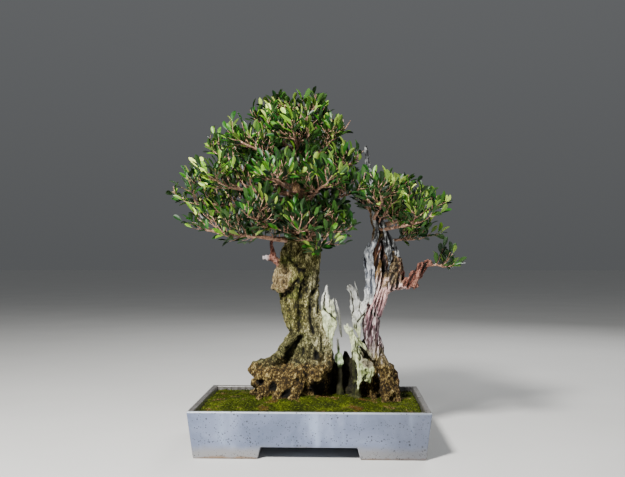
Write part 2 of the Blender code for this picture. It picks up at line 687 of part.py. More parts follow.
# The limbs: name, trunk, height of the fork, tip, and how thick the limb is at its fork, in millimetres.
LIMBS = [
    ("left_low_front", "left", 404, (-206, -66, 424), 6.0),
    ("left_low_back", "left", 438, (-222, 54, 452), 6.0),
    ("left_far", "left", 462, (-262, -10, 490), 6.0),
    ("left_mid_front", "left", 486, (-196, -84, 524), 6.0),
    ("left_upper", "left", 516, (-200, 16, 586), 6.0),
    ("left_upper_front", "left", 546, (-132, -92, 592), 5.0),
    ("top_left", "left", 584, (-112, -14, 646), 5.0),
    ("apex_left", "left", 632, (-76, 10, 670), 3.5),
    ("apex_right", "left", 614, (2, -10, 670), 4.0),
    ("right_upper", "left", 566, (62, -18, 622), 5.0),
    ("right_mid", "left", 520, (84, -34, 560), 5.0),
    ("right_limb", "left", 474, (88, -84, 496), 5.5),
    ("right_low", "left", 416, (60, -74, 420), 5.0),
    ("front_low", "left", 428, (-18, -152, 416), 5.5),
    ("front_low_left", "left", 444, (-112, -142, 446), 5.5),
    ("front_mid", "left", 500, (-66, -152, 516), 5.5),
    ("front_right", "left", 478, (34, -146, 506), 5.0),
    ("front_upper", "left", 562, (-30, -118, 606), 5.0),
    ("back_low_left", "left", 430, (-104, 154, 440), 6.0),
    ("back_low_right", "left", 422, (40, 158, 434), 6.0),
    ("back_mid_left", "left", 500, (-142, 122, 552), 5.5),
    ("back_mid_right", "left", 506, (48, 136, 552), 5.5),
    ("back_upper", "left", 572, (-42, 106, 630), 5.0),
    ("crown_top", "right", 464, (184, 14, 512), 4.5),
    ("crown_far", "right", 436, (250, 28, 470), 5.0),
    ("crown_front", "right", 428, (212, -88, 438), 4.5),
    ("crown_low", "right", 404, (226, 56, 410), 4.5),
    ("crown_back", "right", 428, (190, 98, 468), 4.5),
    ("crown_inner_front", "right", 446, (132, -112, 492), 4.5),
    ("crown_inner_back", "right", 450, (112, 100, 498), 4.5),
    ("low_branch", "branch", 356, (268, -14, 366), 3.2),
]  # fmt: skip

TRUNK_LINES = {
    "left": [
        (-20, 4, 396), (-24, 5, 436), (-28, 5, 477), (-22, 6, 518), (-18, 5, 559), (-28, 4, 600),
        (-41, 3, 641),
    ],
    "right": [(134, 4, 386), (136, 5, 416), (130, 6, 446), (121, 6, 476)],
    "branch": [(219, -10, 350), (238, -11, 362)],
}


def fork_place(trunk, height):
    """The trunk's middle at a height."""
    line = TRUNK_LINES[trunk]
    for low, high in zip(line, line[1:]):
        if height <= high[2] or high is line[-1]:
            return at(*low).lerp(at(*high), (height - low[2]) / (high[2] - low[2]))


def limb_route(number, trunk, height, tip):
    """A limb's line: out from the trunk, a little crooked, and lifting towards its tip."""
    draws = random.Random(100 + number)
    start, end = fork_place(trunk, height), at(*tip)
    span = end - start
    side = span.cross(UP).normalized()
    route = []
    for step in range(LIMB_POINTS):
        share = step / (LIMB_POINTS - 1)
        point = start + span * share
        point.z = start.z + span.z * share**1.5
        if 0 < step < LIMB_POINTS - 1:
            crook = span.length * LIMB_CROOK
            point += side * crook * draws.uniform(-1, 1) + UP * crook * draws.uniform(-0.6, 0.6)
        route.append(point)
    return route


def point_along(route, share):
    """The place and direction at a share of a route's points."""
    where = share * (len(route) - 1)
    low = min(int(where), len(route) - 2)
    return route[low].lerp(route[low + 1], where - low), (route[low + 1] - route[low]).normalized()


def twig_line(number, twig, route, attempt):
    """Where a twig starts and ends. The first carries the limb on; the others fan out along it."""
    draws = random.Random(1000 * number + twig)
    reach = (route[-1] - route[0]).length
    swing = 0.35 * ((attempt + 1) // 2) * (-1) ** attempt
    if twig == 0:
        start, along = point_along(route, 0.97)
        side = along.cross(UP).normalized()
        way = (along + UP * 0.35 + side * swing).normalized()
        return start, start + way * draws.uniform(28, 36) * MM
    share = 0.40 + 0.52 * ((twig * GOLDEN_SHARE) % 1.0)
    start, along = point_along(route, share)
    side = along.cross(UP).normalized()
    turn = twig * GOLDEN_TURN + number + swing
    way = (along * 0.5 + side * 0.95 * math.cos(turn) + UP * (0.42 + 0.42 * math.sin(turn))).normalized()
    length = min(72 * MM, max(36 * MM, reach * (0.42 - 0.2 * share))) * draws.uniform(0.85, 1.1)
    return start, start + way * length * (1 - 0.04 * attempt)


def rod(start, end, radius, tip_radius):
    """A straight tapering twig with three sides."""
    mesh = bpy.data.meshes.new("rod")
    shape = bmesh.new()
    along = end - start
    bmesh.ops.create_cone(
        shape, cap_ends=True, segments=3, radius1=radius, radius2=tip_radius, depth=along.length
    )
    turn = along.to_track_quat("Z", "Y").to_matrix().to_4x4()
    bmesh.ops.transform(shape, matrix=Matrix.Translation((start + end) / 2) @ turn, verts=shape.verts)
    shape.to_mesh(mesh)
    shape.free()
    return mesh


def leaf_mesh(root, way, face, length, width, thickness):
    """A three-sided blade, flat on top and keeled below, widest past its middle.

    It is a cone from the root to the widest part, whose far end is drawn out to the tip.
    """
    mesh = bpy.data.meshes.new("leaf")
    shape = bmesh.new()
    blade = length * LEAF_WIDEST
    bmesh.ops.create_cone(shape, cap_ends=True, segments=3, radius1=0.0, radius2=1.0, depth=blade)
    bmesh.ops.translate(shape, verts=shape.verts, vec=(0, 0, blade / 2))
    wide = [vertex for vertex in shape.verts if vertex.co.z > blade / 2]
    keel = min(wide, key=lambda vertex: abs(vertex.co.x))
    down = math.copysign(1.0, keel.co.y)
    for vertex in wide:
        if vertex is keel:
            vertex.co.y = down * thickness
        else:
            vertex.co.x = math.copysign(width / 2, vertex.co.x)
            vertex.co.y = 0.0
    far_end = max(shape.faces, key=lambda face: face.calc_center_median().z)
    tip = bmesh.ops.poke(shape, faces=[far_end])["verts"][0]
    tip.co = Vector((0, down * thickness * 0.3, length))
    across = way.cross(face).normalized()
    flat = across.cross(way).normalized() * -down
    turn = Matrix((flat.cross(way), flat, way)).transposed().to_4x4()
    bmesh.ops.transform(shape, matrix=Matrix.Translation(root) @ turn, verts=shape.verts)
    bmesh.ops.recalc_face_normals(shape, faces=shape.faces)
    shape.to_mesh(mesh)
    shape.free()
    return mesh


class Grown:
    """What has grown so far: a search tree of its faces, its middle and reach, and whether it is solid."""

    def __init__(self, mesh, solid=False):
        points = [vertex.co.copy() for vertex in mesh.vertices]
        self.faces = BVHTree.FromPolygons(points, [polygon.vertices for polygon in mesh.polygons])
        self.middle = sum(points, Vector()) / len(points)
        self.reach = max((point - self.middle).length for point in points)
        self.solid = solid

    def meets(self, other):
        """Whether another small shape crosses this one or lies in it."""
        if (other.middle - self.middle).length > self.reach + other.reach:
            return False
        if self.faces.overlap(other.faces):
            return True
        if not self.solid:
            return False
        crossings, start = 0, other.middle
        while start is not None:
            start = self.faces.ray_cast(start, UP)[0]
            if start is not None:
                crossings += 1
                start = start + UP * 0.001 * MM
        return crossings % 2 == 1


def is_clear(mesh, grown):
    shape = Grown(mesh)
    bpy.data.meshes.remove(mesh)
    return not any(item.meets(shape) for item in grown)


def clear_twig(number, twig, route, grown):
    """The first line of a twig that is clear of all that grew before it, or None."""
    for attempt in range(TWIG_TRIES):
        start, end = twig_line(number, twig, route, attempt)
        away = start.lerp(end, 0.22)
        if is_clear(rod(away, end, TWIG_RADIUS * 1.6, TWIG_TIP_RADIUS * 1.6), grown):
            return start, end
    return None


def leaf_place(number, twig, leaf, start, end, attempt):
    """Root, direction, facing, length and width of a leaf: one at the twig's end, the others in pairs."""
    draws = random.Random(f"{number} {twig} {leaf}")
    along = (end - start).normalized()
    across = along.cross(UP).normalized()
    pair, side = divmod(leaf - 1, 2)
    share = 1.0 - 0.24 * max(pair, 0)
    spread = LEAF_SPREAD * (1.0 + 0.2 * pair)
    length = LEAF_LENGTH * draws.uniform(0.88, 1.1)
    width = LEAF_WIDTH * draws.uniform(0.88, 1.1)
    turn = (0.0, math.pi / 2)[pair % 2] + side * math.pi + draws.uniform(-0.35, 0.35)
    if leaf == 0:
        spread, turn = LEAF_SPREAD * 0.2, 1.2
    turn += 0.4 * ((attempt + 1) // 2) * (-1) ** attempt
    out = Matrix.Rotation(turn, 3, along) @ across
    way = (along * math.cos(spread) + out * math.sin(spread) + UP * 0.2).normalized()
    face = along * math.sin(spread) - out * math.cos(spread) + UP * 0.8
    face = Matrix.Rotation(draws.uniform(-LEAF_TWIST, LEAF_TWIST), 3, way) @ face
    root = start.lerp(end, share) - along * 1.5 * MM
    return root, way, face, length, width


def clear_leaf(number, twig, leaf, start, end, grown):
    """A leaf's mesh, turned about its twig until it is clear of all that grew before it, or None."""
    for attempt in range(LEAF_TRIES):
        root, way, face, length, width = leaf_place(number, twig, leaf, start, end, attempt)
        outer = leaf_mesh(root + way * 4 * MM, way, face, length - 3 * MM, width + MM, 2 * LEAF_THICKNESS)
        if is_clear(outer, grown):
            return leaf_mesh(root, way, face, length, width, LEAF_THICKNESS)
    return None


def root_hole(woods, cutters):
    """A plain body round the foot of the wood, to cut the moss with."""
    shape = bmesh.new()
    for wood in woods:
        shape.from_mesh(wood.data)
    everything = shape.verts[:] + shape.edges[:] + shape.faces[:]
    cut = bmesh.ops.bisect_plane(shape, geom=everything, plane_co=(0, 0, HOLE_TOP), plane_no=(0, 0, 1),
                                 clear_outer=True)
    rim = [edge for edge in cut["geom_cut"] if isinstance(edge, bmesh.types.BMEdge)]
    bmesh.ops.holes_fill(shape, edges=rim, sides=0)
    mesh = bpy.data.meshes.new("root_hole")
    shape.to_mesh(mesh)
    shape.free()
    hole = helper("root_hole", mesh, cutters)
    grow = hole.modifiers.new("grow", "DISPLACE")
    grow.strength = HOLE_CLEARANCE
    grow.mid_level = 0.0
    settle(hole)
    plain = hole.modifiers.new("plain", "REMESH")
    plain.mode = "VOXEL"
    plain.voxel_size = HOLE_VOXEL
    settle(hole)
    thin = hole.modifiers.new("thin", "DECIMATE")
    thin.ratio = HOLE_FACES / sum(len(polygon.vertices) - 2 for polygon in hole.data.polygons)
    return settle(hole)


def make_foliage(collection, cutters, live_cutter, dead):
    """All leafy sprays: the limbs first, then their twigs, then the leaves, each kept clear of the rest."""
    material = principled("olive_leaf")
    dead_cutters = [swollen(item, cutters) for item in dead]
    grown = [Grown(item.data, solid=True) for item in (live_cutter, *dead_cutters)]
    routes, limbs, repeats = [], [], []
    for number, (name, trunk, height, tip, thickness) in enumerate(LIMBS):
        route = limb_route(number, trunk, height, tip)
        radii = smooth_radii([thickness * MM, thickness * 0.62 * MM, 1.9 * MM], LIMB_POINTS)
        mesh = tube_mesh(route, radii, sides=4)
        routes.append(route)
        limbs.append(place("spray_" + name, mesh, collection, material))
        repeats.append(new_collection("repeats_" + name))
        grown.append(Grown(mesh))
    lines = {}
    for twig in range(len(LEAVES_PER_TWIG)):
        for number, route in enumerate(routes):
            others = [item for item in grown if item is not grown[1 + len(dead) + number]]
            line = clear_twig(number, twig, route, others)
            if line:
                lines[number, twig] = line
                mesh = rod(*line, TWIG_RADIUS, TWIG_TIP_RADIUS)
                place("twig", mesh, repeats[number])
                grown.append(Grown(mesh))
    for leaf in range(max(LEAVES_PER_TWIG)):
        for (number, twig), (start, end) in lines.items():
            mesh = leaf < LEAVES_PER_TWIG[twig] and clear_leaf(number, twig, leaf, start, end, grown)
            if mesh:
                place("leaf", mesh, repeats[number])
                grown.append(Grown(mesh))
    for spray, joined in zip(limbs, repeats):
        boolean(spray, joined, "UNION", "MANIFOLD")
        for item in list(joined.objects):
            bpy.data.objects.remove(item, do_unlink=True)
        bpy.data.collections.remove(joined)
        for cutter in (live_cutter, *dead_cutters):
            boolean(spray, cutter, "DIFFERENCE", "MANIFOLD")
        keep_largest(spray)


def main():
    clear_scene()
    tree = new_collection("olive_bonsai")
    cutters = new_collection("cutters")
    make_pot(tree, cutters)
    make_screens(tree, cutters)
    soil, moss = make_ground(tree, cutters)
    live = make_live_wood(tree)
    live_cutter, dead = make_deadwood(tree, cutters, live)
    boolean(soil, live_cutter, "DIFFERENCE", "MANIFOLD")
    merge_flat(soil)
    for cutter in (root_hole((live, *dead), cutters), live_cutter, swollen(dead[1], cutters)):
        boolean(moss, cutter, "DIFFERENCE", "MANIFOLD")
    keep_largest(moss)
    make_foliage(tree, cutters, live_cutter, dead)


main()
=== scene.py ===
import math
import random

import bmesh
import bpy
import numpy as np
from mathutils import Matrix, Vector, noise
from mathutils.bvhtree import BVHTree


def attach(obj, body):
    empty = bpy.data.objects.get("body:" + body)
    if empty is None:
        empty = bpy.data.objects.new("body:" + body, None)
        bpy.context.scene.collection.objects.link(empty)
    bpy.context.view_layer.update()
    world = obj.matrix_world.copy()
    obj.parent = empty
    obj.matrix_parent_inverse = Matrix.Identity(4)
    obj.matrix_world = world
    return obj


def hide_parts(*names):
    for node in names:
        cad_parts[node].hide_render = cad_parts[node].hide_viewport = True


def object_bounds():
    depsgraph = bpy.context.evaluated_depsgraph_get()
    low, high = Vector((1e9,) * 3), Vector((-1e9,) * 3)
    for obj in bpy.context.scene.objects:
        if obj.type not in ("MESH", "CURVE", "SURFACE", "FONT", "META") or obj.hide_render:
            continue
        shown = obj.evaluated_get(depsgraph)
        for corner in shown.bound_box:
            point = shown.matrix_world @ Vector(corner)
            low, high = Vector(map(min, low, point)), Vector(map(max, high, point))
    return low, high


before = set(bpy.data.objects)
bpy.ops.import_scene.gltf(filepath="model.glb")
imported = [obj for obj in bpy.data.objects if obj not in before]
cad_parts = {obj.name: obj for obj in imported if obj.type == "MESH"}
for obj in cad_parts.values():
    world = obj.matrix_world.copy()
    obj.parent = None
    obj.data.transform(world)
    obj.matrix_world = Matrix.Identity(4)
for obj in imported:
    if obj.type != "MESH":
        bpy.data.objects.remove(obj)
cad_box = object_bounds()

# The pot is a shallow stoneware tray on four corner feet, built from slabs and fired as one piece.
# Its blue-grey glaze has iron specks, breaks pale over the rim and runs thin and warm over the feet.
MM = 0.001
POT_LENGTH, POT_WIDTH, POT_HEIGHT = 450 * MM, 300 * MM, 88 * MM
POT_TAPER, POT_WALL, EDGE_ROUNDING = 10.5 * MM, 11 * MM, 2.4 * MM
FOOT_HEIGHT, FLOOR_TOP = 22 * MM, 32 * MM
FRONT_ARCH, SIDE_ARCH, ARCH_SPLAY = 178 * MM, 112 * MM, 11 * MM
DRAIN_OFFSET, DRAIN_RADIUS = 105 * MM, 13 * MM


def paint(red, green, blue):
    """A colour as it is seen, from 0 to 255 a channel, as the linear colour that a socket takes."""
    linear = [c / 255 / 12.92 if c <= 10 else ((c / 255 + 0.055) / 1.055) ** 2.4 for c in (red, green, blue)]
    return (*linear, 1.0)


def deselect_all():
    if bpy.context.mode != "OBJECT":
        bpy.ops.object.mode_set(mode="OBJECT")
    bpy.ops.object.select_all(action="DESELECT")


def take(piece):
    """Makes this the only selected object, and the active one."""
    deselect_all()
    piece.select_set(True)
    bpy.context.view_layer.objects.active = piece
    return piece


def fix_place(piece):
    """Moves the object's place, turn and size into its mesh."""
    take(piece)
    bpy.ops.object.transform_apply(location=True, rotation=True, scale=True)
    return piece


def edit(piece, kind=None, action="SELECT"):
    """Opens edit mode with everything or nothing selected."""
    take(piece)
    bpy.ops.object.mode_set(mode="EDIT")
    if kind:
        bpy.ops.mesh.select_mode(type=kind)
    bpy.ops.mesh.select_all(action=action)


def edit_faces(piece, chosen):
    """Opens edit mode with just the faces that pass the test selected."""
    edit(piece, "FACE", "DESELECT")
    bpy.ops.object.mode_set(mode="OBJECT")
    for face in piece.data.polygons:
        face.select = chosen(face)
    bpy.ops.object.mode_set(mode="EDIT")


def modify(piece, kind, **settings):
    """Adds a modifier with its settings, and applies it."""
    take(piece)
    made = piece.modifiers.new(kind.lower(), kind)
    for name, value in settings.items():
        setattr(made, name, value)
    bpy.ops.object.modifier_apply(modifier=made.name)
    return piece


def cut_away(piece, cutter, solver="EXACT"):
    modify(piece, "BOOLEAN", operation="DIFFERENCE", solver=solver, object=cutter)
    bpy.data.objects.remove(cutter, do_unlink=True)


def bar(size, centre):
    deselect_all()
    bpy.ops.mesh.primitive_cube_add(size=1, location=centre, scale=size)
    return fix_place(bpy.context.object)


def cover(piece, material):
    """Makes this the piece's only material."""
    piece.data.materials.clear()
    piece.data.materials.append(material)


def plug(node, inputs):
    """Sets the node's inputs to values, or links them from looks."""
    for name, value in inputs.items():
        if isinstance(value, Look):
            node.id_data.links.new(value.socket, node.inputs[name])
        else:
            node.inputs[name].default_value = value


def add(tree, kind, inputs, **settings):
    """A node of this kind, with its settings and inputs."""
    made = tree.nodes.new("ShaderNode" + kind)
    for name, value in settings.items():
        setattr(made, name, value)
    plug(made, inputs)
    return made


class Look:
    """A value, colour or place that a node gives out. Values add, multiply and compare like numbers."""

    def __init__(self, socket):
        self.socket = socket

    def add(self, kind, inputs, **settings):
        """The outputs of a new node in the same tree, by name."""
        made = add(self.socket.id_data, kind, inputs, **settings)
        return {output.name: Look(output) for output in made.outputs}

    def math(self, operation, other=0.0):
        return self.add("Math", {0: self, 1: other}, operation=operation)["Value"]

    def __add__(self, other):
        return self.math("ADD", other)

    def __sub__(self, other):
        return self.math("SUBTRACT", other)

    def __mul__(self, other):
        return self.math("MULTIPLY", other)

    def __lt__(self, other):
        return self.math("LESS_THAN", other)

    def __or__(self, other):
        return self.math("MAXIMUM", other)

    def fade(self, start, end, way="SMOOTHSTEP"):
        """0 at the start, 1 at the end, and smooth between."""
        inputs = {"Value": self, "From Min": start, "From Max": end}
        return self.add("MapRange", inputs, interpolation_type=way)["Result"]

    def ramp(self, *stops):
        """A colour for each value: a stop is a place from 0 to 1, and a seen colour or a grey."""
        made = add(self.socket.id_data, "ValToRGB", {"Fac": self})
        band = made.color_ramp.elements
        while len(band) < len(stops):
            band.new(0.5)
        for stop, (place, *tone) in zip(band, stops):
            stop.position, stop.color = place, paint(*tone) if tone[1:] else (*tone * 3, 1.0)
        return Look(made.outputs["Color"])

    def under(self, *layers):
        """This colour with others laid over it in turn: each is its share and its colour."""
        tone = self
        for share, colour in layers:
            colour = paint(*colour) if isinstance(colour, tuple) else colour
            mixed = add(self.socket.id_data, "Mix", {0: share, 6: tone, 7: colour}, data_type="RGBA")
            tone = Look(mixed.outputs[2])
        return tone

    def cloud(self, scale, detail=4.0, rough=0.55, warp=0.0):
        inputs = {"Vector": self, "Scale": scale, "Detail": detail, "Roughness": rough, "Distortion": warp}
        return self.add("TexNoise", inputs)["Fac"]

    def cells(self, scale):
        """How far this place is from the middle of its cell, and two numbers drawn for that cell."""
        made = self.add("TexVoronoi", {"Vector": self, "Scale": scale})
        lots = self.add("SeparateColor", {"Color": made["Color"]})
        return made["Distance"], lots["Red"], lots["Green"]

    def drawn(self, up, across=1.0, turn=0.0):
        """This place with its axes scaled, so that what is read there is drawn out upwards."""
        inputs = {"Vector": self, "Rotation": (0, turn, 0), "Scale": (across, across, up)}
        return self.add("Mapping", inputs)["Vector"]

    def axes(self):
        return list(self.add("SeparateXYZ", {0: self}).values())

    def kept(self, name):
        """The value that the mesh keeps under this name."""
        return self.add("Attribute", {}, attribute_name=name)["Fac"]

    def through(self, group, **inputs):
        """What a shared effect makes of this place."""
        return self.add("Group", {"Place": self, **inputs}, node_tree=group)


def new_material(name):
    """A material and its Object coordinates."""
    material = bpy.data.materials.new(name)
    material.use_nodes = True
    return material, Look(material.node_tree.nodes.new("ShaderNodeTexCoord").outputs["Object"])


def finish(material, colour, relief=None, depth=0.0, **inputs):
    """Sets the shader's colour, its relief from a height between 0 and 1, and its other inputs."""
    inputs = {name.replace("_", " "): value for name, value in inputs.items()}
    inputs["Base Color"] = colour
    if relief is not None:
        bump = relief.add("Bump", {"Height": relief, "Distance": depth, "Strength": 1.0})
        inputs["Normal"] = bump["Normal"]
    plug(material.node_tree.nodes["Principled BSDF"], inputs)


def new_group(name, inputs, outputs):
    """An effect that several materials share: its tree, what it reads and the node it writes to."""
    tree = bpy.data.node_groups.new(name, "ShaderNodeTree")
    for label in inputs:
        kind = "NodeSocketVector" if label == "Place" else "NodeSocketFloat"
        tree.interface.new_socket(label, in_out="INPUT", socket_type=kind)
    for label in outputs:
        tree.interface.new_socket(label, in_out="OUTPUT", socket_type="NodeSocketFloat")
    reads = [Look(socket) for socket in tree.nodes.new("NodeGroupInput").outputs[:len(inputs)]]
    return tree, reads, tree.nodes.new("NodeGroupOutput")


# Specks: small round spots of uneven size, scattered so that only some of the cells hold one.
specks, (place, scale, share), writes = new_group("specks", ("Place", "Scale", "Share"), ("Mask",))
away, lot, size = place.cells(scale)
plug(writes, {"Mask": (lot < share) * (away < size * 0.26 + 0.06)})

glaze, where = new_material("speckled_glaze")
x, y, z = where.axes()
# Where the glaze is worn on the feet and pale on the rim, and where it is darker inside: stained clay with
# painted shade over it, and painted shade on the rim's top behind its front lip. In metres.
worn = z + where.cloud(40) * 0.014
reach_x, reach_y = x.math("ABSOLUTE"), y.math("ABSOLUTE")
inside_stain_and_shade = reach_x.fade(0.2225, 0.2195) * reach_y.fade(0.1475, 0.1445) * z.fade(0.068, 0.072)
rim_top_shade = reach_x.fade(0.2249, 0.2240) * z.fade(0.0848, 0.0868) * y.fade(-0.1475, -0.1445)
fine = where.through(specks, Scale=280.0, Share=0.62)["Mask"]
iron = fine | where.through(specks, Scale=175.0, Share=0.36)["Mask"]
ground = where.cloud(11, 5, 0.6, 0.8).ramp((0.30, 90, 101, 126), (0.50, 113, 124, 151), (0.70, 136, 147, 174))
ground = ground.under(
    (where.drawn(5, 26, 0.55).cloud(1.0, 3, 0.5).fade(0.54, 0.74), (150, 165, 194)),
    (worn.fade(0.036, 0.018), (136, 136, 138)),
    (worn.fade(0.0125, 0.0075), (126, 104, 84)),
    (z.fade(0.0845, 0.0865), (176, 186, 200)),
    # Painted shade: the glaze grows darker towards the pot's right end.
    ((x + where.cloud(14, 4) * 0.08).fade(0.09, 0.25) * 0.62, (70, 74, 86)),
    # Painted shade: the inside and the rim's top, all but its front lip, go dark.
    (inside_stain_and_shade | rim_top_shade, where.cloud(130, 4, 0.7).ramp((0.35, 52, 48, 44), (0.65, 118, 116, 114))),
    (iron * 0.8, (40, 40, 44)),
)
uneven = where.cloud(55, 3, 0.5)
finish(glaze, ground, uneven - iron * 0.25, 0.5 * MM, Roughness=uneven.ramp((0.3, 0.26), (0.7, 0.42)),
       Coat_Weight=0.25, Coat_Roughness=0.2)

pot = bar((POT_LENGTH, POT_WIDTH, POT_HEIGHT), (0, 0, POT_HEIGHT / 2))
pot.name = "glazed_pot"
edit_faces(pot, lambda face: face.normal.z < -0.5)
bpy.ops.transform.resize(value=(1 - 2 * POT_TAPER / POT_LENGTH, 1 - 2 * POT_TAPER / POT_WIDTH, 1))
edit_faces(pot, lambda face: face.normal.z > 0.5)
bpy.ops.mesh.inset(thickness=POT_WALL)
pot_depth = POT_HEIGHT - FLOOR_TOP
bpy.ops.mesh.extrude_region_move(TRANSFORM_OT_translate={"value": (0, 0, -pot_depth)})
lean = 2 * POT_TAPER * pot_depth / POT_HEIGHT
bpy.ops.transform.resize(
    value=(1 - lean / (POT_LENGTH - 2 * POT_WALL), 1 - lean / (POT_WIDTH - 2 * POT_WALL), 1)
)
for arch, turn in ((FRONT_ARCH, 0.0), (SIDE_ARCH, math.pi / 2)):
    opening = bar((arch + 2 * ARCH_SPLAY, 1.2 * POT_LENGTH, 2 * FOOT_HEIGHT), (0, 0, 0))
    edit_faces(opening, lambda face: face.normal.z > 0.5)
    bpy.ops.transform.resize(value=(arch / (arch + 2 * ARCH_SPLAY), 1, 1))
    deselect_all()
    opening.rotation_euler.z = turn
    cut_away(pot, fix_place(opening))
for side in (-1, 1):
    deselect_all()
    middle = (side * DRAIN_OFFSET, 0, FOOT_HEIGHT)
    bpy.ops.mesh.primitive_cylinder_add(
        vertices=32, radius=DRAIN_RADIUS, depth=4 * FOOT_HEIGHT, location=middle
    )
    cut_away(pot, fix_place(bpy.context.object))
modify(pot, "BEVEL", width=EDGE_ROUNDING, segments=4, limit_method="ANGLE", angle_limit=math.radians(50))
take(pot)
bpy.ops.object.shade_smooth_by_angle(angle=math.radians(35))
modify(pot, "WEIGHTED_NORMAL", keep_sharp=True, weight=80)
cover(pot, glaze)
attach(pot, "root")
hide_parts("pot")

# The drain screens are two cut squares of black plastic mesh, which lie loose on the floor of the pot.
# Their shape is right in the frame, and they get a matt moulded finish with a fine dust of soil.
def repaint(node, material):
    """Gives a solid of the frame a new material. Its shape stays."""
    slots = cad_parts[node].data.materials
    for place in range(len(slots)):
        slots[place] = material


mesh_plastic, where = new_material("drain_plastic")
dust = where.cloud(420, 6, 0.7)
finish(mesh_plastic, dust.ramp((0.42, 24, 24, 25), (0.72, 70, 56, 44)), dust, 0.15 * MM,
       Roughness=dust.ramp((0.3, 0.45), (0.8, 0.85)))
repaint("drain_screen_1", mesh_plastic)
repaint("drain_screen_2", mesh_plastic)

# The potting mix fills the pot under the moss: grit, baked clay and bark crumbs, pressed in by hand.
# It shows only through the drain holes, and keeps its plain shape with a grainy finish.
potting_mix, where = new_material("potting_mix")
away, lot, _ = where.cells(240.0)
mix = lot.ramp((0.1, 62, 44, 30), (0.5, 104, 74, 50), (0.9, 140, 116, 88))
# Painted light and shade: each grain is lighter at its raised middle and dark at its edge, where the grains
# meet.
mix = mix.under((0.5, away.ramp((0.1, 130, 104, 78), (0.6, 34, 25, 18))))
finish(potting_mix, mix, away * -1.0, 1.2 * MM, Roughness=0.95)
repaint("soil", potting_mix)

# The moss is one living mat over the mounded soil, kept short, with cushions, bare brown patches and crumbs.
# It is a fine grid raised by the mound's own rule, closed underneath, with shoots that stand out of it.
GROUND_DROP, SOIL_TOP = 9 * MM, 72.5 * MM
MOUND_RISE, MOUND_RADII, MOUND_MIDDLE = 13 * MM, (190 * MM, 105 * MM), 15 * MM
HEAP_RISE, HEAP_RADII, HEAP_MIDDLE = 10 * MM, (75 * MM, 60 * MM), (-50 * MM, -10 * MM)
MOSS_STEP, MOSS_GAP, MOSS_SKIRT = 1.9 * MM, 0.8 * MM, 8 * MM
SHOOTS, SHOOT_SINK, BARE_LOSS, CRUMBS = 15000, 0.8 * MM, 0.75, 420


def clamp(value):
    return max(0.0, min(1.0, value))


def rough(place, size, octaves=2):
    """Uneven swells about 0, with lumps of this size in millimetres."""
    return noise.fractal(place / (size * MM), 1.0, 2.0, octaves)


def moss_height(x, y):
    """The mound, its soft swells, the cushions that the moss grows in, and a heap against the left root."""
    reach = math.hypot((x - MOUND_MIDDLE) / MOUND_RADII[0], y / MOUND_RADII[1])
    place = Vector((x, y, 0.0))
    swell = 2.2 * MM * noise.noise(place / (26 * MM)) + 1.1 * MM * noise.noise(place / (9 * MM))
    cushion = 1.7 * MM * (0.55 - noise.voronoi(place / (6.5 * MM))[0][0])
    away = math.hypot((x - HEAP_MIDDLE[0]) / HEAP_RADII[0], (y - HEAP_MIDDLE[1]) / HEAP_RADII[1])
    heap = HEAP_RISE * math.exp(-(away**2))
    return POT_HEIGHT - GROUND_DROP + MOUND_RISE * math.exp(-(reach**2) * 1.3) + heap + swell + cushion


def moss_bareness(x, y):
    """From 0 on thick moss to 1 on bare brown soil: in patches, and along the front edge."""
    edge = max(0.0, 1 - (y + inner_width / 2) / (26 * MM))
    return clamp(1.3 * rough(Vector((x, y, 5.0)), 34, 4) + 0.6 * edge + 0.05)


def keep(piece, name, values):
    """Keeps a value at each point of the mesh, for its material to read."""
    piece.data.attributes.new(name, "FLOAT", "POINT").data.foreach_set("value", values)


def new_object(name, data):
    made = bpy.data.objects.new(name, data)
    bpy.context.scene.collection.objects.link(made)
    return made


def mesh_from(name, corners, faces, material):
    """One object from many small shapes that share a name and a material."""
    mesh = bpy.data.meshes.new(name)
    mesh.from_pydata(corners, [], faces)
    mesh.materials.append(material)
    return new_object(name, mesh)


room_loss = 2 * (POT_WALL + POT_TAPER / POT_HEIGHT * GROUND_DROP + MOSS_GAP)
inner_length, inner_width = POT_LENGTH - room_loss, POT_WIDTH - room_loss
deselect_all()
bpy.ops.mesh.primitive_grid_add(
    x_subdivisions=int(inner_length / MOSS_STEP), y_subdivisions=int(inner_width / MOSS_STEP), size=1
)
moss = bpy.context.object
moss.name = "moss_mat"
moss.scale = (inner_length, inner_width, 1)
fix_place(moss)
bareness = []
for point in moss.data.vertices:
    x, y = point.co.x, point.co.y
    rim = min(inner_length / 2 - abs(x), inner_width / 2 - abs(y))
    point.co.z = moss_height(x, y) - 2.5 * MM * max(0.0, 1 - rim / (5 * MM)) ** 2
    bareness.append(moss_bareness(x, y))
edit(moss, "EDGE")
bpy.ops.mesh.region_to_loop()
bpy.ops.mesh.extrude_edges_move(TRANSFORM_OT_translate={"value": (0, 0, -MOSS_SKIRT)})
bpy.ops.transform.resize(value=(0.996, 0.994, 0))
bpy.ops.mesh.edge_face_add()
bpy.ops.mesh.select_all(action="SELECT")
bpy.ops.mesh.normals_make_consistent(inside=False)
bpy.ops.object.mode_set(mode="OBJECT")
for point in moss.data.vertices[len(bareness):]:
    point.co.z = SOIL_TOP
bareness += [1.0] * (len(moss.data.vertices) - len(bareness))
keep(moss, "bare", bareness)
bpy.ops.object.shade_smooth()

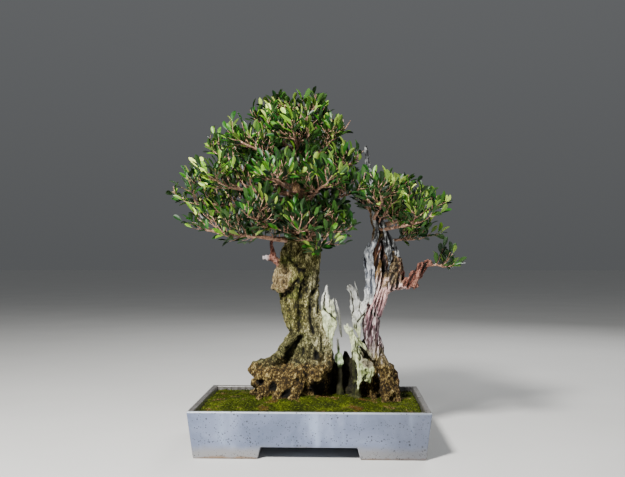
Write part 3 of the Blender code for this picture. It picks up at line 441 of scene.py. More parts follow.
moss_green, where = new_material("moss_green")
tuft = where.cloud(260, 6, 0.75)
brown = tuft.ramp((0.35, 30, 20, 5), (0.5, 68, 50, 14), (0.66, 106, 84, 30))
green = where.cloud(24, 4, 0.6).ramp((0.32, 28, 36, 3), (0.50, 56, 67, 8), (0.68, 96, 108, 18)).under(
    # Painted highlight and painted shade over the moss's own green: pale yellow-green where the tufts stand
    # high, near black where they sink.
    (tuft.fade(0.54, 0.70) * 0.7, (142, 156, 50)),
    (tuft.fade(0.60, 0.36), (28, 30, 4)),
    (where.kept("bare").fade(0.35, 1.0), brown),
)
finish(moss_green, green, tuft, 1.4 * MM, Roughness=0.95, Specular_IOR_Level=0.1)
moss.data.materials.append(moss_green)

draws = random.Random(21)
corners, faces, bareness = [], [], []
while len(faces) < 4 * SHOOTS:
    x = draws.uniform(-0.497, 0.497) * inner_length
    y = draws.uniform(-0.495, 0.495) * inner_width
    bare_here = moss_bareness(x, y)
    if draws.random() < BARE_LOSS * bare_here:
        continue
    radius = draws.uniform(0.55, 1.15) * MM
    rise = draws.uniform(1.1, 3.0) * MM * (1 - 0.5 * bare_here)
    turn = draws.uniform(0, math.tau)
    foot = Vector((x, y, moss_height(x, y) - SHOOT_SINK))
    base = len(corners)
    for step in range(3):
        angle = turn + step * math.tau / 3
        corners.append(foot + Vector((math.cos(angle), math.sin(angle), 0)) * radius)
    lean_way = Vector((draws.uniform(-1, 1), draws.uniform(-1, 1), 0)) * 0.9 * MM
    corners.append(foot + lean_way + Vector((0, 0, rise + SHOOT_SINK)))
    faces.append((base + 2, base + 1, base))
    faces += [(base + a, base + b, base + 3) for a, b in ((0, 1), (1, 2), (2, 0))]
    bareness += [0.6 * bare_here] * 4
shoots = mesh_from("moss_shoots", corners, faces, moss_green)
keep(shoots, "bare", bareness)

bark_crumb, where = new_material("bark_crumb")
crumb_tone = where.cloud(90, 3).ramp((0.38, 46, 30, 16), (0.5, 90, 64, 36), (0.62, 128, 104, 68))
finish(bark_crumb, crumb_tone, where.cloud(900, 3), 0.3 * MM, Roughness=0.9)
deselect_all()
bpy.ops.mesh.primitive_ico_sphere_add(subdivisions=1, radius=1.0)
crumb = bpy.context.object
crumb_points = [point.co.copy() for point in crumb.data.vertices]
crumb_faces = [tuple(face.vertices) for face in crumb.data.polygons]
bpy.data.objects.remove(crumb, do_unlink=True)
corners, faces = [], []
while len(faces) < CRUMBS * len(crumb_faces):
    x = draws.uniform(-0.49, 0.49) * inner_length
    y = draws.uniform(-0.485, 0.485) * inner_width
    if moss_bareness(x, y) < draws.uniform(0.35, 0.9):
        continue
    size = Matrix.Diagonal([draws.uniform(0.6, 1.5) * MM for _ in range(3)])
    angle = draws.uniform(0, math.tau)
    turn = Matrix.Rotation(angle, 3, Vector((draws.random(), draws.random(), 1)).normalized())
    base = len(corners)
    middle = Vector((x, y, moss_height(x, y) + 0.3 * MM))
    corners += [middle + turn @ size @ (point * draws.uniform(0.8, 1.15)) for point in crumb_points]
    faces += [tuple(base + corner for corner in face) for face in crumb_faces]
crumbs = mesh_from("bark_crumbs", corners, faces, bark_crumb)
for ground in (moss, shoots, crumbs):
    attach(ground, "root")
    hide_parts("moss")

# The living wood is one body that grew together: the burled left trunk on its knotted roots, the right trunk
# with its low branch, the dead-tipped stub, and the back of the old hollow stump that joins the two.
LIVE_VOXEL, WOOD_FOOT = 1.95 * MM, 73.5 * MM
SOIL_ROOTS = ((-40, 0, 22), (154, 0, 11.5))
ROOT_ZONE, RIGHT_ZONE, FOOT_ZONE = (196 * MM, 140 * MM), (84 * MM, 104 * MM), (80 * MM, 92 * MM)
CARVED_DEPTH, ROOT_KNOBS = 10 * MM, 34
ROOT_HOLLOWS = ((31, -46, 100, 35, 34, 24), (3, -52, 98, 25, 30, 19))


# Pits and burls are x, y, z and sizes. Strands are knots of x, y, z and radius. A groove is its width and
# depth, and then its line as seen from the front. All of them are in millimetres.
# Each pit is also painted dark, as painted shade. The widest, with no depth, is only painted shade under the
# right half of the trunk's foot.
PITS = (
    (10, -34, 177, 13, 13), (-34, -30, 178, 19, 11), (-26, -34, 198, 11, 8), (-76, -24, 116, 13, 6),
    (-46, -42, 104, 12, 5), (-98, -18, 122, 10, 4), (28, -32, 102, 34, 0),
)
GROOVES = (
    ((9, 8), (-10, 330), (-19, 308), (-23, 287), (-23, 262), (-26, 245), (-28, 226)),
    ((7, 7), (16, 342), (11, 312), (1, 294), (-2, 271), (-1, 245), (3, 222)),
    ((7, 8), (-78, 300), (-60, 292), (-46, 303), (-36, 312), (-26, 326)),
    ((6, 6), (24, 385), (21, 350), (14, 322), (17, 286), (12, 262)),
    ((5, 4), (-48, 372), (-30, 352), (-12, 344)),
    ((7, 8), (-22, 212), (-34, 196), (-44, 182), (-50, 168)),
    ((7, 9), (148, 408), (145, 384), (144, 362), (147, 346)),
    ((4, 3), (120, 262), (131, 252), (138, 246)),
)
LEFT_TRUNK = (
    (-26, 4, 60, 46), (-10, 5, 128, 38), (1, 5, 176, 36), (-7, 5, 214, 37), (-20, 5, 246, 38),
    (-25, 4, 276, 39), (-27, 3, 315, 42), (-24, 3, 355, 42), (-20, 4, 396, 40), (-24, 5, 436, 33),
    (-28, 5, 477, 26), (-22, 6, 518, 18), (-18, 5, 559, 11), (-28, 4, 600, 7), (-41, 3, 641, 4),
)
RIGHT_TRUNK = (
    (164, -6, 60, 19), (156, -5, 112, 17), (145, -4, 142, 16), (131, -2, 178, 17), (121, 0, 212, 17),
    (119, 0, 240, 17), (126, 0, 266, 18), (134, 0, 296, 20), (136, 2, 326, 21), (134, 3, 356, 19),
    (134, 4, 386, 17), (136, 5, 416, 14), (130, 6, 446, 11), (121, 6, 476, 8), (117, 6, 500, 4),
)
BURLS = (
    (-60, -4, 328, 19, 26, 24), (-64, -12, 308, 17, 18, 15), (-46, -30, 328, 15, 12, 13),
    (-60, -24, 318, 13, 14, 12), (-50, -30, 308, 11, 10, 9), (-58, -12, 348, 14, 17, 17),
    (-50, 20, 366, 15, 17, 20), (-8, 30, 300, 22, 18, 34), (31, -8, 156, 13, 14, 18),
    (203, -12, 316, 10, 9, 8), (8, -40, 136, 15, 15, 16), (-34, -34, 322, 14, 12, 14),
    (168, -14, 350, 13, 11, 12), (170, -4, 366, 10, 11, 10), (160, -12, 372, 7, 7, 13),
    (-48, -4, 374, 15, 20, 24),
)
STRANDS = (
    ((4, -14, 380, 9), (10, -14, 320, 8), (10, -14, 268, 8), (22, -12, 222, 10), (31, -10, 190, 12),
     (32, -8, 162, 9)),
    ((-26, -26, 226, 6), (-42, -20, 204, 7), (-57, -14, 186, 8), (-64, -12, 168, 11)),
    ((-62, -10, 178, 8), (-84, -8, 160, 11), (-106, -6, 152, 13), (-116, -4, 138, 16)),
    ((-30, 8, 222, 14), (-48, 8, 190, 15), (-66, 4, 164, 15), (-84, 0, 146, 14)),
    ((-26, 14, 196, 14), (-40, 16, 172, 17), (-52, 12, 150, 17)),
    ((-10, 0, 150, 30), (-55, -8, 128, 24), (-96, -8, 138, 19), (-108, -4, 136, 17)),
    ((-16, -12, 150, 26), (-44, -28, 118, 19), (-62, -34, 94, 15), (-70, -36, 60, 12)),
    ((-60, -10, 130, 22), (-92, -14, 104, 17), (-108, -10, 60, 13)),
    ((-20, -20, 140, 17), (-24, -34, 116, 12), (-28, -40, 96, 9), (-28, -44, 60, 9)),
    ((-20, -16, 134, 20), (-34, -38, 98, 14), (-38, -44, 60, 12)),
    ((0, -6, 168, 20), (10, -20, 142, 18), (9, -26, 134, 12)),
    ((-20, 16, 140, 26), (-46, 38, 106, 19), (-62, 46, 60, 13)),
    ((-8, 20, 140, 24), (2, 48, 106, 17), (6, 60, 60, 12)),
    ((-60, 4, 128, 18), (-96, 14, 104, 14), (-116, 20, 60, 12)),
    ((140, 0, 312, 17), (160, -2, 322, 17), (170, -2, 340, 16), (170, 0, 366, 9)),
    ((160, -4, 318, 13), (182, -8, 318, 11), (198, -10, 322, 12), (210, -10, 338, 11)),
    ((208, -10, 334, 11), (219, -10, 350, 9), (238, -11, 362, 5)),
    ((150, 0, 150, 14), (166, 14, 114, 11), (174, 24, 60, 10)),
    ((150, -4, 140, 12), (146, -20, 108, 11), (149, -28, 60, 10)),
    ((-10, 24, 92, 22), (40, 46, 90, 19), (90, 40, 90, 19), (140, 12, 92, 20)),
    ((-50, -4, 356, 9), (-68, -6, 362, 7), (-78, -8, 370, 6)),
    ((-76, -8, 368, 6), (-88, -9, 370, 5), (-98, -9, 369, 4)),
    ((-76, -8, 368, 6), (-80, -8, 382, 5), (-82, -8, 398, 4), (-74, -9, 414, 3)),
)
POSTS = (
    (22, 30, 196, 17), (38, 44, 178, 13), (54, 50, 164, 12), (71, 50, 176, 12), (88, 42, 184, 13),
    (104, 30, 204, 13), (120, 18, 196, 14),
)


def smooth_route(points, count):
    """Places spaced along a smooth curve (Catmull-Rom) through the given points."""
    ends = [points[0] * 2 - points[1], *points, points[-1] * 2 - points[-2]]
    spans = len(points) - 1
    route = []
    for step in range(count):
        along = step / (count - 1) * spans
        span = min(int(along), spans - 1)
        t = along - span
        a, b, c, d = ends[span : span + 4]
        route.append(
            0.5 * (2 * b + (c - a) * t + (2 * a - 5 * b + 4 * c - d) * t**2 + (3 * b - a - 3 * c + d) * t**3)
        )
    return route


def smooth_radii(radii, count):
    read = []
    for step in range(count):
        along = step / (count - 1) * (len(radii) - 1)
        low = min(int(along), len(radii) - 2)
        read.append(radii[low] + (radii[low + 1] - radii[low]) * (along - low))
    return read


def new_line(curve, points, radii, closed=False):
    """Adds a straight-edged line through these points to a curve."""
    spline = curve.splines.new("POLY")
    spline.points.add(len(points) - 1)
    spline.use_cyclic_u = closed
    for knot, point, radius in zip(spline.points, points, radii):
        knot.co = (*point, 1.0)
        knot.radius = radius


def rounded_curve(name, runs, sides):
    """A curve object with a round section: each run is its points and its radii, in metres."""
    curve = bpy.data.curves.new(name, "CURVE")
    curve.dimensions = "3D"
    curve.bevel_depth = 1.0
    curve.bevel_resolution = max(0, sides // 2 - 2)
    curve.use_fill_caps = True
    for points, radii in runs:
        new_line(curve, points, radii)
    return new_object(name, curve)


def to_mesh(made):
    """The curve as a mesh, with its end caps welded on."""
    take(made)
    bpy.ops.object.convert(target="MESH")
    edit(bpy.context.object)
    bpy.ops.mesh.remove_doubles(threshold=0.01 * MM)
    bpy.ops.object.mode_set(mode="OBJECT")
    return bpy.context.object


def strand(knots, steps=18, sides=12, flat=1.0):
    """A tapering strand through knots of x, y, z and radius. Flat thins it from front to back."""
    route = smooth_route([Vector(knot[:3]) * MM for knot in knots], steps)
    radii = smooth_radii([knot[3] * MM for knot in knots], steps)
    made = to_mesh(rounded_curve("strand", [(route, radii)], sides))
    middle = sum(point.y for point in route) / len(route)
    for point in made.data.vertices:
        point.co.y = middle + (point.co.y - middle) * flat
    return made


def burl(x, y, z, *radii):
    """A rounded lump of wood, in millimetres."""
    deselect_all()
    bpy.ops.mesh.primitive_ico_sphere_add(
        subdivisions=3, radius=1.0, location=Vector((x, y, z)) * MM, scale=[radius * MM for radius in radii]
    )
    return fix_place(bpy.context.object)


def fluted(knots, ribs, share, lean):
    """A trunk with lengthwise ribs: a core, and thinner strands that wind slowly round it."""
    parts = [strand([(x, y, z, radius * 0.86) for x, y, z, radius in knots], steps=40, sides=16)]
    for rib in range(ribs):
        turn = math.tau * rib / ribs + lean
        line = []
        for step, (x, y, z, radius) in enumerate(knots):
            angle = turn + 0.13 * step
            reach = radius * (1 - share) * (1.0 + 0.10 * math.sin(2.1 * rib + 0.9 * step))
            line.append((x + reach * math.cos(angle), y + reach * math.sin(angle), z, radius * share))
        parts.append(strand(line, steps=40, sides=10))
    return parts


def grown_together(name, parts, voxel):
    """One closed body from overlapping strands and burls."""
    take(parts[0])
    for part in parts:
        part.select_set(True)
    bpy.ops.object.join()
    body = bpy.context.object
    body.name = name
    modify(body, "REMESH", mode="VOXEL", voxel_size=voxel)
    return modify(body, "SMOOTH", factor=0.5, iterations=1)


def cut_level(body, level):
    """Cuts the wood off flat a little way under the moss."""
    edit(body)
    bpy.ops.mesh.bisect(plane_co=(0, 0, level), plane_no=(0, 0, 1), clear_inner=True, use_fill=True)
    bpy.ops.object.mode_set(mode="OBJECT")


def share_of(value, start, end):
    return clamp((value - start) / (end - start))


def ridged(place, size):
    """1 on the crest of a fold and 0 or less in its furrow. The folds are this far apart, in millimetres."""
    return 1 - 3.2 * abs(noise.noise(place / (size * MM)))


def upright(place, share, lean=0.0):
    """The place with its height scaled, so that what is read there is drawn out upwards."""
    return Vector((place.x - lean * place.z, place.y, place.z * share))


def weather(body, relief_at):
    """Works the surface in or out by its relief, and keeps a tone under the name relief for the colours:
    painted light on what stands out, painted shade in what is sunk.
    """
    normals = [point.normal.copy() for point in body.data.vertices]
    tones = []
    for point, normal in zip(body.data.vertices, normals):
        depth, tone = relief_at(point.co)
        point.co += normal * depth * MM
        tones.append(clamp(tone))
    keep(body, "relief", tones)
    take(body)
    bpy.ops.object.shade_smooth()


def grooved(place, grooves):
    """How far the carved lines sink this place, in millimetres, and the share of their depth."""
    x = place.x / MM + 2.6 * noise.noise(place / (9 * MM))
    z = place.z / MM + 2.6 * noise.noise(place / (9 * MM) + Vector((7.0, 3.0, 5.0)))
    sunk = share = 0.0
    uneven = 1 + 0.7 * noise.noise(place / (11 * MM))
    for (width, depth), *line in grooves:
        for (x0, z0), (x1, z1) in zip(line, line[1:]):
            run, rise = x1 - x0, z1 - z0
            along = clamp(((x - x0) * run + (z - z0) * rise) / (run * run + rise * rise))
            away = math.hypot(x - x0 - along * run, z - z0 - along * rise) / (width * uneven)
            if away < 1:
                sunk, share = max(sunk, depth * (1 - away**2) ** 2), max(share, (1 - away**2) ** 2)
    return sunk, share


def live_relief(place):
    """How far the bark stands out, in millimetres, and how light it is painted: lighter on crests, darker in
    furrows, pits and grooves, which is painted light and shade. Roots, left trunk, right trunk.
    """
    roots = share_of(place.z, *ROOT_ZONE)
    right = share_of(place.x, *RIGHT_ZONE) * (1 - 0.6 * roots)
    knots = rough(place, 15, 3)
    lumps = 0.5 - noise.voronoi(place / (8.5 * MM))[0][0]
    folds = ridged(upright(place, 0.22), 9)
    crust = rough(upright(place, 0.6), 5)
    sinew = ridged(upright(place, 0.1, 0.3), 8)
    seams = ridged(upright(place, 0.25), 4.6)
    rooty = 3.6 * rough(place, 24) + 2.2 * knots + 0.9 * lumps + 1.9 * crust
    barky = 2.1 * knots + 1.3 * (folds - 0.3) + 0.5 * crust + 0.7 * (seams - 0.3)
    silky = 3.0 * (sinew - 0.3) + 0.3 * crust + 1.0 * knots
    depth = roots * rooty + (1 - roots) * ((1 - right) * barky + right * silky)
    tone = 0.50 + roots * (0.10 * knots + 0.08 * lumps + 0.34 * crust)
    tone += (1 - roots) * (1 - right) * (0.12 * crust + 0.12 * seams + 0.16 * folds - 0.06)
    tone += (1 - roots) * right * (0.40 * sinew - 0.14)
    # Painted shade: the grooves are painted darker as well as sunk.
    if place.y < CARVED_DEPTH:
        sunk, share = grooved(place, GROOVES)
        depth -= sunk
        tone -= 0.45 * share
    # Painted shade: each pit is painted darker towards its middle, down to near black.
    for x, y, z, radius, sunk in PITS:
        away = (place - Vector((x, y, z)) * MM).length / (radius * MM) * (1 + 0.45 * knots)
        if away < 1:
            depth -= sunk * (1 - away**2) ** 1.5
            tone -= 1.1 * (1 - away**2)
    return depth * (0.3 + 0.7 * share_of(place.z, *FOOT_ZONE)), tone


live_parts = fluted(LEFT_TRUNK, ribs=7, share=0.36, lean=0.4)
live_parts += fluted(RIGHT_TRUNK, ribs=5, share=0.42, lean=0.9)
live_parts += [burl(*lump) for lump in BURLS] + [strand(knots) for knots in STRANDS]
draws = random.Random(11)
for _ in range(ROOT_KNOBS):
    x = draws.uniform(-122, 6)
    y = draws.uniform(-38, 40)
    z = 140 - 0.24 * abs(x + 20) - 0.5 * abs(y) + draws.uniform(-26, 8)
    size = draws.uniform(7, 13)
    live_parts.append(burl(x, y, max(z, 90), size, size, size * 0.8))
for number, (x, y, top, radius) in enumerate(POSTS):
    sway = 3 * math.sin(2.4 * number)
    live_parts.append(strand([(x, y + 6, 60, radius * 1.2), (x + sway, y + 2, 120, radius),
                              (x, y, top - 24, radius * 0.8), (x - sway, y, top, radius * 0.3)]))
live_wood = grown_together("olive_trunks", live_parts, LIVE_VOXEL)
for hollow in ROOT_HOLLOWS:
    cut_away(live_wood, burl(*hollow), "MANIFOLD")
weather(live_wood, live_relief)
cut_level(live_wood, WOOD_FOOT)

# Wood grain: fibres, and dark checks where they part. The place that it reads is drawn out along the wood.
grain, (place, fineness), writes = new_group("grain", ("Place", "Fineness"), ("Fibres", "Checks"))
fibres = place.cloud(fineness, 4.0, 0.6, 0.5)
plug(writes, {"Fibres": fibres, "Checks": (fibres - 0.5).math("ABSOLUTE").fade(0.03, 0.0)})

olive_bark, where = new_material("olive_bark")
x, y, z = where.axes()
relief = where.kept("relief")
flecks = where.drawn(0.55).cloud(440, 5, 0.74)
fissures = where.drawn(0.35).through(grain, Fineness=190.0)["Checks"]
lines = where.drawn(0.09).through(grain, Fineness=190.0)
# The kept relief tone puts painted light and shade into this: lighter on crests, darker in furrows, pits and
# grooves.
shade = relief + (flecks - 0.5) * 2.5 - fissures * 0.28 + (where.cloud(48, 5, 0.62) - 0.5) * 0.9

# Where each kind of bark and each patch of painted shade starts and ends on the tree, in metres.
drift = (where.cloud(60, 5, 0.7) - 0.5) * 0.10
side_of, height_of = x + drift, z + drift
moss_tint = where.cloud(32, 4, 0.6).fade(0.50, 0.66)
burl_spot = side_of.fade(-0.030, -0.046) * (height_of.fade(0.294, 0.306) * height_of.fade(0.352, 0.336))
pale_side = side_of.fade(-0.016, 0.004) * height_of.fade(0.352, 0.330)
# Painted shade on the arched ridge low on the trunk and the crevices under it.
ridge_shade = height_of.fade(0.150, 0.164) * height_of.fade(0.236, 0.212) * side_of.fade(0.014, -0.006)
sinew_zone = side_of.fade(0.088, 0.104) * height_of.fade(0.150, 0.205) * height_of.fade(0.420, 0.396)
shoulder = height_of.fade(0.306, 0.322) * side_of.fade(0.142, 0.154)
stub_zone = x.fade(-0.060, -0.070) * z.fade(0.346, 0.356)
# Painted shade: the back wall of the old hollow stump is painted near black.
hollow_shade = y.fade(0.012, 0.026) * x.fade(0.006, 0.024) * z.fade(0.230, 0.205) * y.fade(0.062, 0.046)
# Dark streaks on the vein: its checks, and painted shade where the fibres and the kept tone are low. The pale
# streaks on its raised fibres are partly grain, partly painted highlight.
dark_fibre_and_shade = lines["Checks"] + (lines["Fibres"] + relief).fade(1.10, 0.86)
root_tone = shade.ramp((0.04, 8, 5, 1), (0.32, 40, 28, 8), (0.58, 80, 62, 26), (1.0, 194, 172, 112))
branch_tone = shade.ramp((0.05, 28, 11, 8), (0.45, 90, 48, 37), (1.0, 196, 146, 128))
sinew_tone = height_of.fade(0.10, 0.42, "LINEAR").ramp(
    (0.10, 88, 66, 50), (0.24, 76, 57, 60), (0.40, 98, 76, 84), (0.50, 150, 112, 120), (0.58, 234, 182, 182),
    (0.66, 232, 190, 178), (0.73, 150, 122, 84), (0.82, 112, 84, 46), (0.92, 98, 56, 44), (1.0, 44, 36, 24),
).under((dark_fibre_and_shade * 0.92, (40, 22, 22)), (lines["Fibres"].fade(0.52, 0.66) * 0.75, (244, 228, 226)))
bark = shade.ramp((0.05, 12, 11, 3), (0.34, 52, 48, 17), (0.60, 98, 94, 47), (1.0, 204, 196, 144)).under(
    (moss_tint * 0.6, shade.ramp((0.05, 16, 22, 2), (0.5, 66, 76, 18), (1.0, 150, 156, 70))),
    (burl_spot * 0.8, shade.ramp((0.05, 40, 28, 14), (0.5, 136, 116, 82), (1.0, 214, 196, 156))),
    (pale_side * 0.8, shade.ramp((0.05, 24, 22, 10), (0.5, 112, 108, 74), (1.0, 226, 222, 184))),
    (height_of.fade(0.196, 0.150), root_tone),
    (height_of.fade(0.392, 0.430), shade.ramp((0.1, 28, 20, 10), (0.5, 76, 56, 34), (0.95, 140, 112, 80))),
    (ridge_shade * 0.75, shade.ramp((0.05, 8, 7, 3), (0.5, 50, 48, 22), (1.0, 140, 138, 98))),
    (sinew_zone, sinew_tone),
    (shoulder * 0.9, shade.ramp((0.05, 10, 7, 3), (0.5, 52, 42, 26), (1.0, 156, 138, 104))),
    (side_of.fade(0.172, 0.192), branch_tone),
    (stub_zone, branch_tone),
    (stub_zone * x.fade(-0.082, -0.092), shade.ramp((0.1, 96, 84, 80), (0.8, 176, 168, 170))),
    # Painted shade: near black wherever the kept tone is lowest, deep in the pits and grooves.
    (relief.fade(0.26, 0.02), (9, 7, 3)),
    (hollow_shade, shade.ramp((0.1, 6, 5, 3), (0.5, 26, 24, 12), (0.95, 66, 62, 34))),
)
finish(olive_bark, bark, flecks + lines["Fibres"] * 0.5, 2.6 * MM, Roughness=0.88, Specular_IOR_Level=0.25)
anchors = to_mesh(rounded_curve("soil_roots", [
    ([Vector((x, y, 78)) * MM, Vector((x, y, 62)) * MM, Vector((x, y, 48)) * MM],
     [radius * MM, radius * 0.86 * MM, radius * 0.66 * MM])
    for x, y, radius in SOIL_ROOTS
], 12))
keep(anchors, "relief", [0.5] * len(anchors.data.vertices))
for wood in (live_wood, anchors):
    cover(wood, olive_bark)
    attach(wood, "root")
    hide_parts("live_wood")

# The deadwood is what weather and carving left of the old stump: splinters, shards and a grey strip on the
# right trunk, stripped of bark and bleached. Each is still rooted in the live wood, and is made like it.
DEAD_VOXEL = 1.1 * MM
POST_KNOBS = ((54, 13, 166, 9, 8, 12), (58, 12, 158, 7, 7, 8))
# A run is its flatness and then its knots. A plate is its depth, half its thickness and then its outline.
LEFT_SHARD = (
    (0.6, (39, -14, 188, 4), (34, -14, 222, 9), (33, -14, 246, 12), (32, -14, 262, 9)),
    (0.9, (26, -13, 250, 7), (25, -13, 282, 5), (27, -12, 302, 2)),
)
LEFT_PLATES = (
    ((-14, 4.5), (20, 286), (21, 295), (25, 301), (29, 311), (31, 318), (32, 306), (33, 298), (36, 294),
     (36, 287), (40, 285), (44, 290), (44, 278), (46, 270), (48, 262), (49, 248), (51, 236), (47, 227),
     (45, 218), (41, 209), (40, 195), (42, 177), (38, 172), (35, 191), (31, 207), (27, 221), (24, 232),
     (21, 244), (20, 262), (19, 276)),
)
RIGHT_SHARDS = (
    (0.9, (74, -7, 311, 3), (80, -8, 298, 4), (83, -8, 278, 6), (88, -8, 258, 8), (92, -8, 236, 6),
     (96, -8, 212, 3)),
    (0.9, (87, 0, 322, 1), (90, -1, 304, 2), (94, -3, 280, 4), (95, -6, 250, 6)),
    (0.9, (110, -9, 282, 2), (106, -9, 268, 5), (100, -8, 254, 6), (95, -8, 240, 4)),
    (0.9, (70, -19, 231, 3), (78, -20, 220, 5), (86, -20, 200, 6), (96, -20, 178, 7), (108, -20, 160, 8),
     (116, -20, 146, 7)),
    (1, (92, -14, 212, 2), (108, -18, 190, 2.5), (124, -18, 166, 3)),
    (1, (110, -22, 158, 8), (113, -24, 140, 7), (108, -25, 126, 4)),
    (0.8, (84, -12, 190, 5), (88, -10, 150, 6), (90, -8, 118, 8), (91, -8, 66, 10)),
    (1, (88, -6, 92, 8), (74, 6, 86, 7), (62, 16, 86, 7), (56, 22, 92, 7)),
    (1, (47, 14, 288, 1.4), (50, 14, 274, 2.8), (54, 15, 256, 3.4), (57, 16, 232, 3.2), (60, 16, 208, 2.4)),
    (1, (52, 16, 206, 2.2), (54, 16, 180, 3), (56, 18, 150, 5), (56, 20, 120, 6), (58, 18, 84, 9)),
)
RIGHT_PLATES = (
    ((-8, 4.5), (70, 312), (74, 317), (79, 315), (84, 309), (89, 304), (92, 291), (94, 286), (98, 283),
     (102, 279), (104, 285), (107, 287), (109, 283), (112, 287), (113, 283), (111, 276), (110, 267),
     (109, 259), (106, 253), (100, 247), (93, 244), (95, 237), (99, 230), (98, 224), (97, 207), (94, 211),
     (90, 220), (86, 227), (83, 233), (81, 248), (79, 259), (77, 280), (76, 287), (78, 293), (77, 298),
     (74, 304), (71, 308)),
    ((-21, 4.5), (64, 236), (70, 232), (71, 239), (74, 234), (81, 230), (84, 227), (85, 219), (90, 214),
     (95, 209), (101, 201), (108, 191), (115, 179), (107, 187), (99, 195), (95, 195), (94, 188), (97, 180),
     (103, 175), (110, 171), (118, 165), (123, 160), (122, 156), (125, 149), (124, 140), (119, 134),
     (117, 120), (113, 122), (110, 128), (105, 130), (101, 127), (95, 121), (93, 106), (91, 119), (92, 138),
     (91, 156), (88, 165), (84, 176), (82, 188), (79, 195), (78, 204), (75, 214), (70, 223), (66, 228)),
)
JIN = (
    (1, (110, 4, 598, 2.6), (112, 4, 570, 5), (115, 3, 540, 7), (118, -2, 512, 7.5), (121, -7, 488, 7),
     (126, -9, 466, 7)),
    (1, (126, -9, 470, 6), (136, -12, 450, 6), (147, -13, 424, 6), (159, -12, 402, 6), (168, -8, 382, 6),
     (170, -6, 356, 6)),
    (1, (150, -14, 416, 3), (157, -17, 392, 4), (156, -19, 372, 5), (155, -19, 356, 3)),
    (1, (124, -6, 462, 4), (128, -12, 440, 4), (130, -14, 416, 4), (124, -16, 396, 5), (116, -16, 384, 6)),
    (1, (118, -15, 394, 5), (112, -15, 366, 7), (116, -16, 332, 8), (116, -16, 300, 7), (114, -14, 282, 3)),
    (1, (138, -12, 448, 5), (146, -16, 458, 3.5), (152, -18, 466, 1.5)),
    (1, (150, -13, 420, 4), (148, -14, 400, 5), (150, -12, 380, 3)),
)
JIN_PLATES = (
    ((-15, 4), (115, 402), (110, 393), (105, 380), (103, 368), (104, 355), (108, 342), (108, 323),
     (106, 304), (105, 288), (109, 277), (113, 283), (118, 276), (123, 282), (126, 301), (128, 319),
     (127, 338), (124, 355), (122, 374), (118, 389)),
)
CHECKS = (
    ((2.2, 4.5), (28, 300), (26, 288), (25, 270), (32, 261), (40, 254), (49, 246)),
    ((1.6, 3), (37, 286), (36, 272)),
    ((2, 4), (105, 376), (107, 356), (111, 338)),
    ((3, 2), (121, 346), (119, 318), (119, 300)),
    ((3, 4), (92, 243), (98, 249), (107, 256)),
    ((2.4, 4), (84, 226), (90, 216), (95, 206)),
    ((4, 5), (99, 180), (107, 174), (117, 167)),
    ((2.6, 4), (94, 194), (92, 182), (97, 168)),
    ((2.4, 4), (108, 150), (108, 140), (104, 130)),
    ((3, 6), (152, 420), (162, 392), (164, 364)),
    ((2.2, 4), (128, 458), (138, 436), (142, 414)),
    ((1.6, 2.5), (79, 302), (83, 286), (84, 268), (82, 254)),
    ((1.8, 2.5), (97, 280), (95, 264), (100, 252)),
    ((1.6, 2.5), (86, 214), (88, 196), (92, 184)),
)


def splinter(outline, depth, half):
    """A flat splinter: its corners as seen from the front, its depth and half its thickness."""
    curve = bpy.data.curves.new("splinter", "CURVE")
    curve.dimensions = "2D"
    curve.fill_mode = "BOTH"
    curve.extrude = half * MM
    new_line(curve, [(x * MM, z * MM, 0.0) for x, z in outline], [1.0] * len(outline), closed=True)
    made = new_object("splinter", curve)
    made.rotation_euler.x = math.pi / 2
    made.location.y = depth * MM
    return fix_place(to_mesh(made))


def dead_relief(place):
    """Fine upright grain with deep checks, and a few hollows. Its tone is painted darker in the checks and
    sunk places and lighter where the surface stands out: painted light and shade.
    """
    fibre = rough(upright(place, 0.14), 3.4)
    crack_place = Vector((place.x, place.y, place.z * 0.05 + 0.05)) / (12 * MM)
    check = max(0.0, 1 - 13 * abs(noise.noise(crack_place)))
    check *= share_of(noise.noise(place / (22 * MM)), -0.25, 0.15)
    worn = rough(place, 11, 3)
    sunk, share = grooved(place, CHECKS)
    slender = 1 - 0.6 * share_of(place.y, 8 * MM, 12 * MM)
    depth = slender * (0.7 * fibre - 1.3 * check + 2.1 * worn) - sunk
    return depth, 0.72 + 0.24 * fibre - 0.6 * check + 0.34 * worn - 0.6 * share


bleached, where = new_material("bleached_wood")
x, y, z = where.axes()
lines = where.drawn(0.11).through(grain, Fineness=300.0)
specked = where.cloud(230, 3, 0.6).fade(0.40, 0.31)
# The kept relief tone brings its painted light and shade into this shade.
shade = where.kept("relief") + (lines["Fibres"] - 0.5) * 0.85 - specked * 0.5
white = shade.ramp((0.08, 18, 17, 14), (0.36, 132, 130, 118), (0.58, 220, 220, 211), (0.80, 250, 251, 247))
grey = shade.ramp((0.12, 24, 25, 30), (0.42, 96, 100, 110), (0.64, 146, 151, 161), (0.92, 214, 217, 220))
shaded_grey = shade.ramp((0.20, 5, 5, 6), (0.50, 28, 29, 31), (0.72, 80, 82, 84), (0.94, 188, 190, 190))
moss_and_shade = shade.ramp((0.15, 4, 4, 1), (0.5, 15, 16, 4), (0.9, 54, 56, 20))
pale_green = shade.ramp((0.15, 30, 37, 10), (0.50, 112, 124, 68), (0.8, 202, 212, 156))

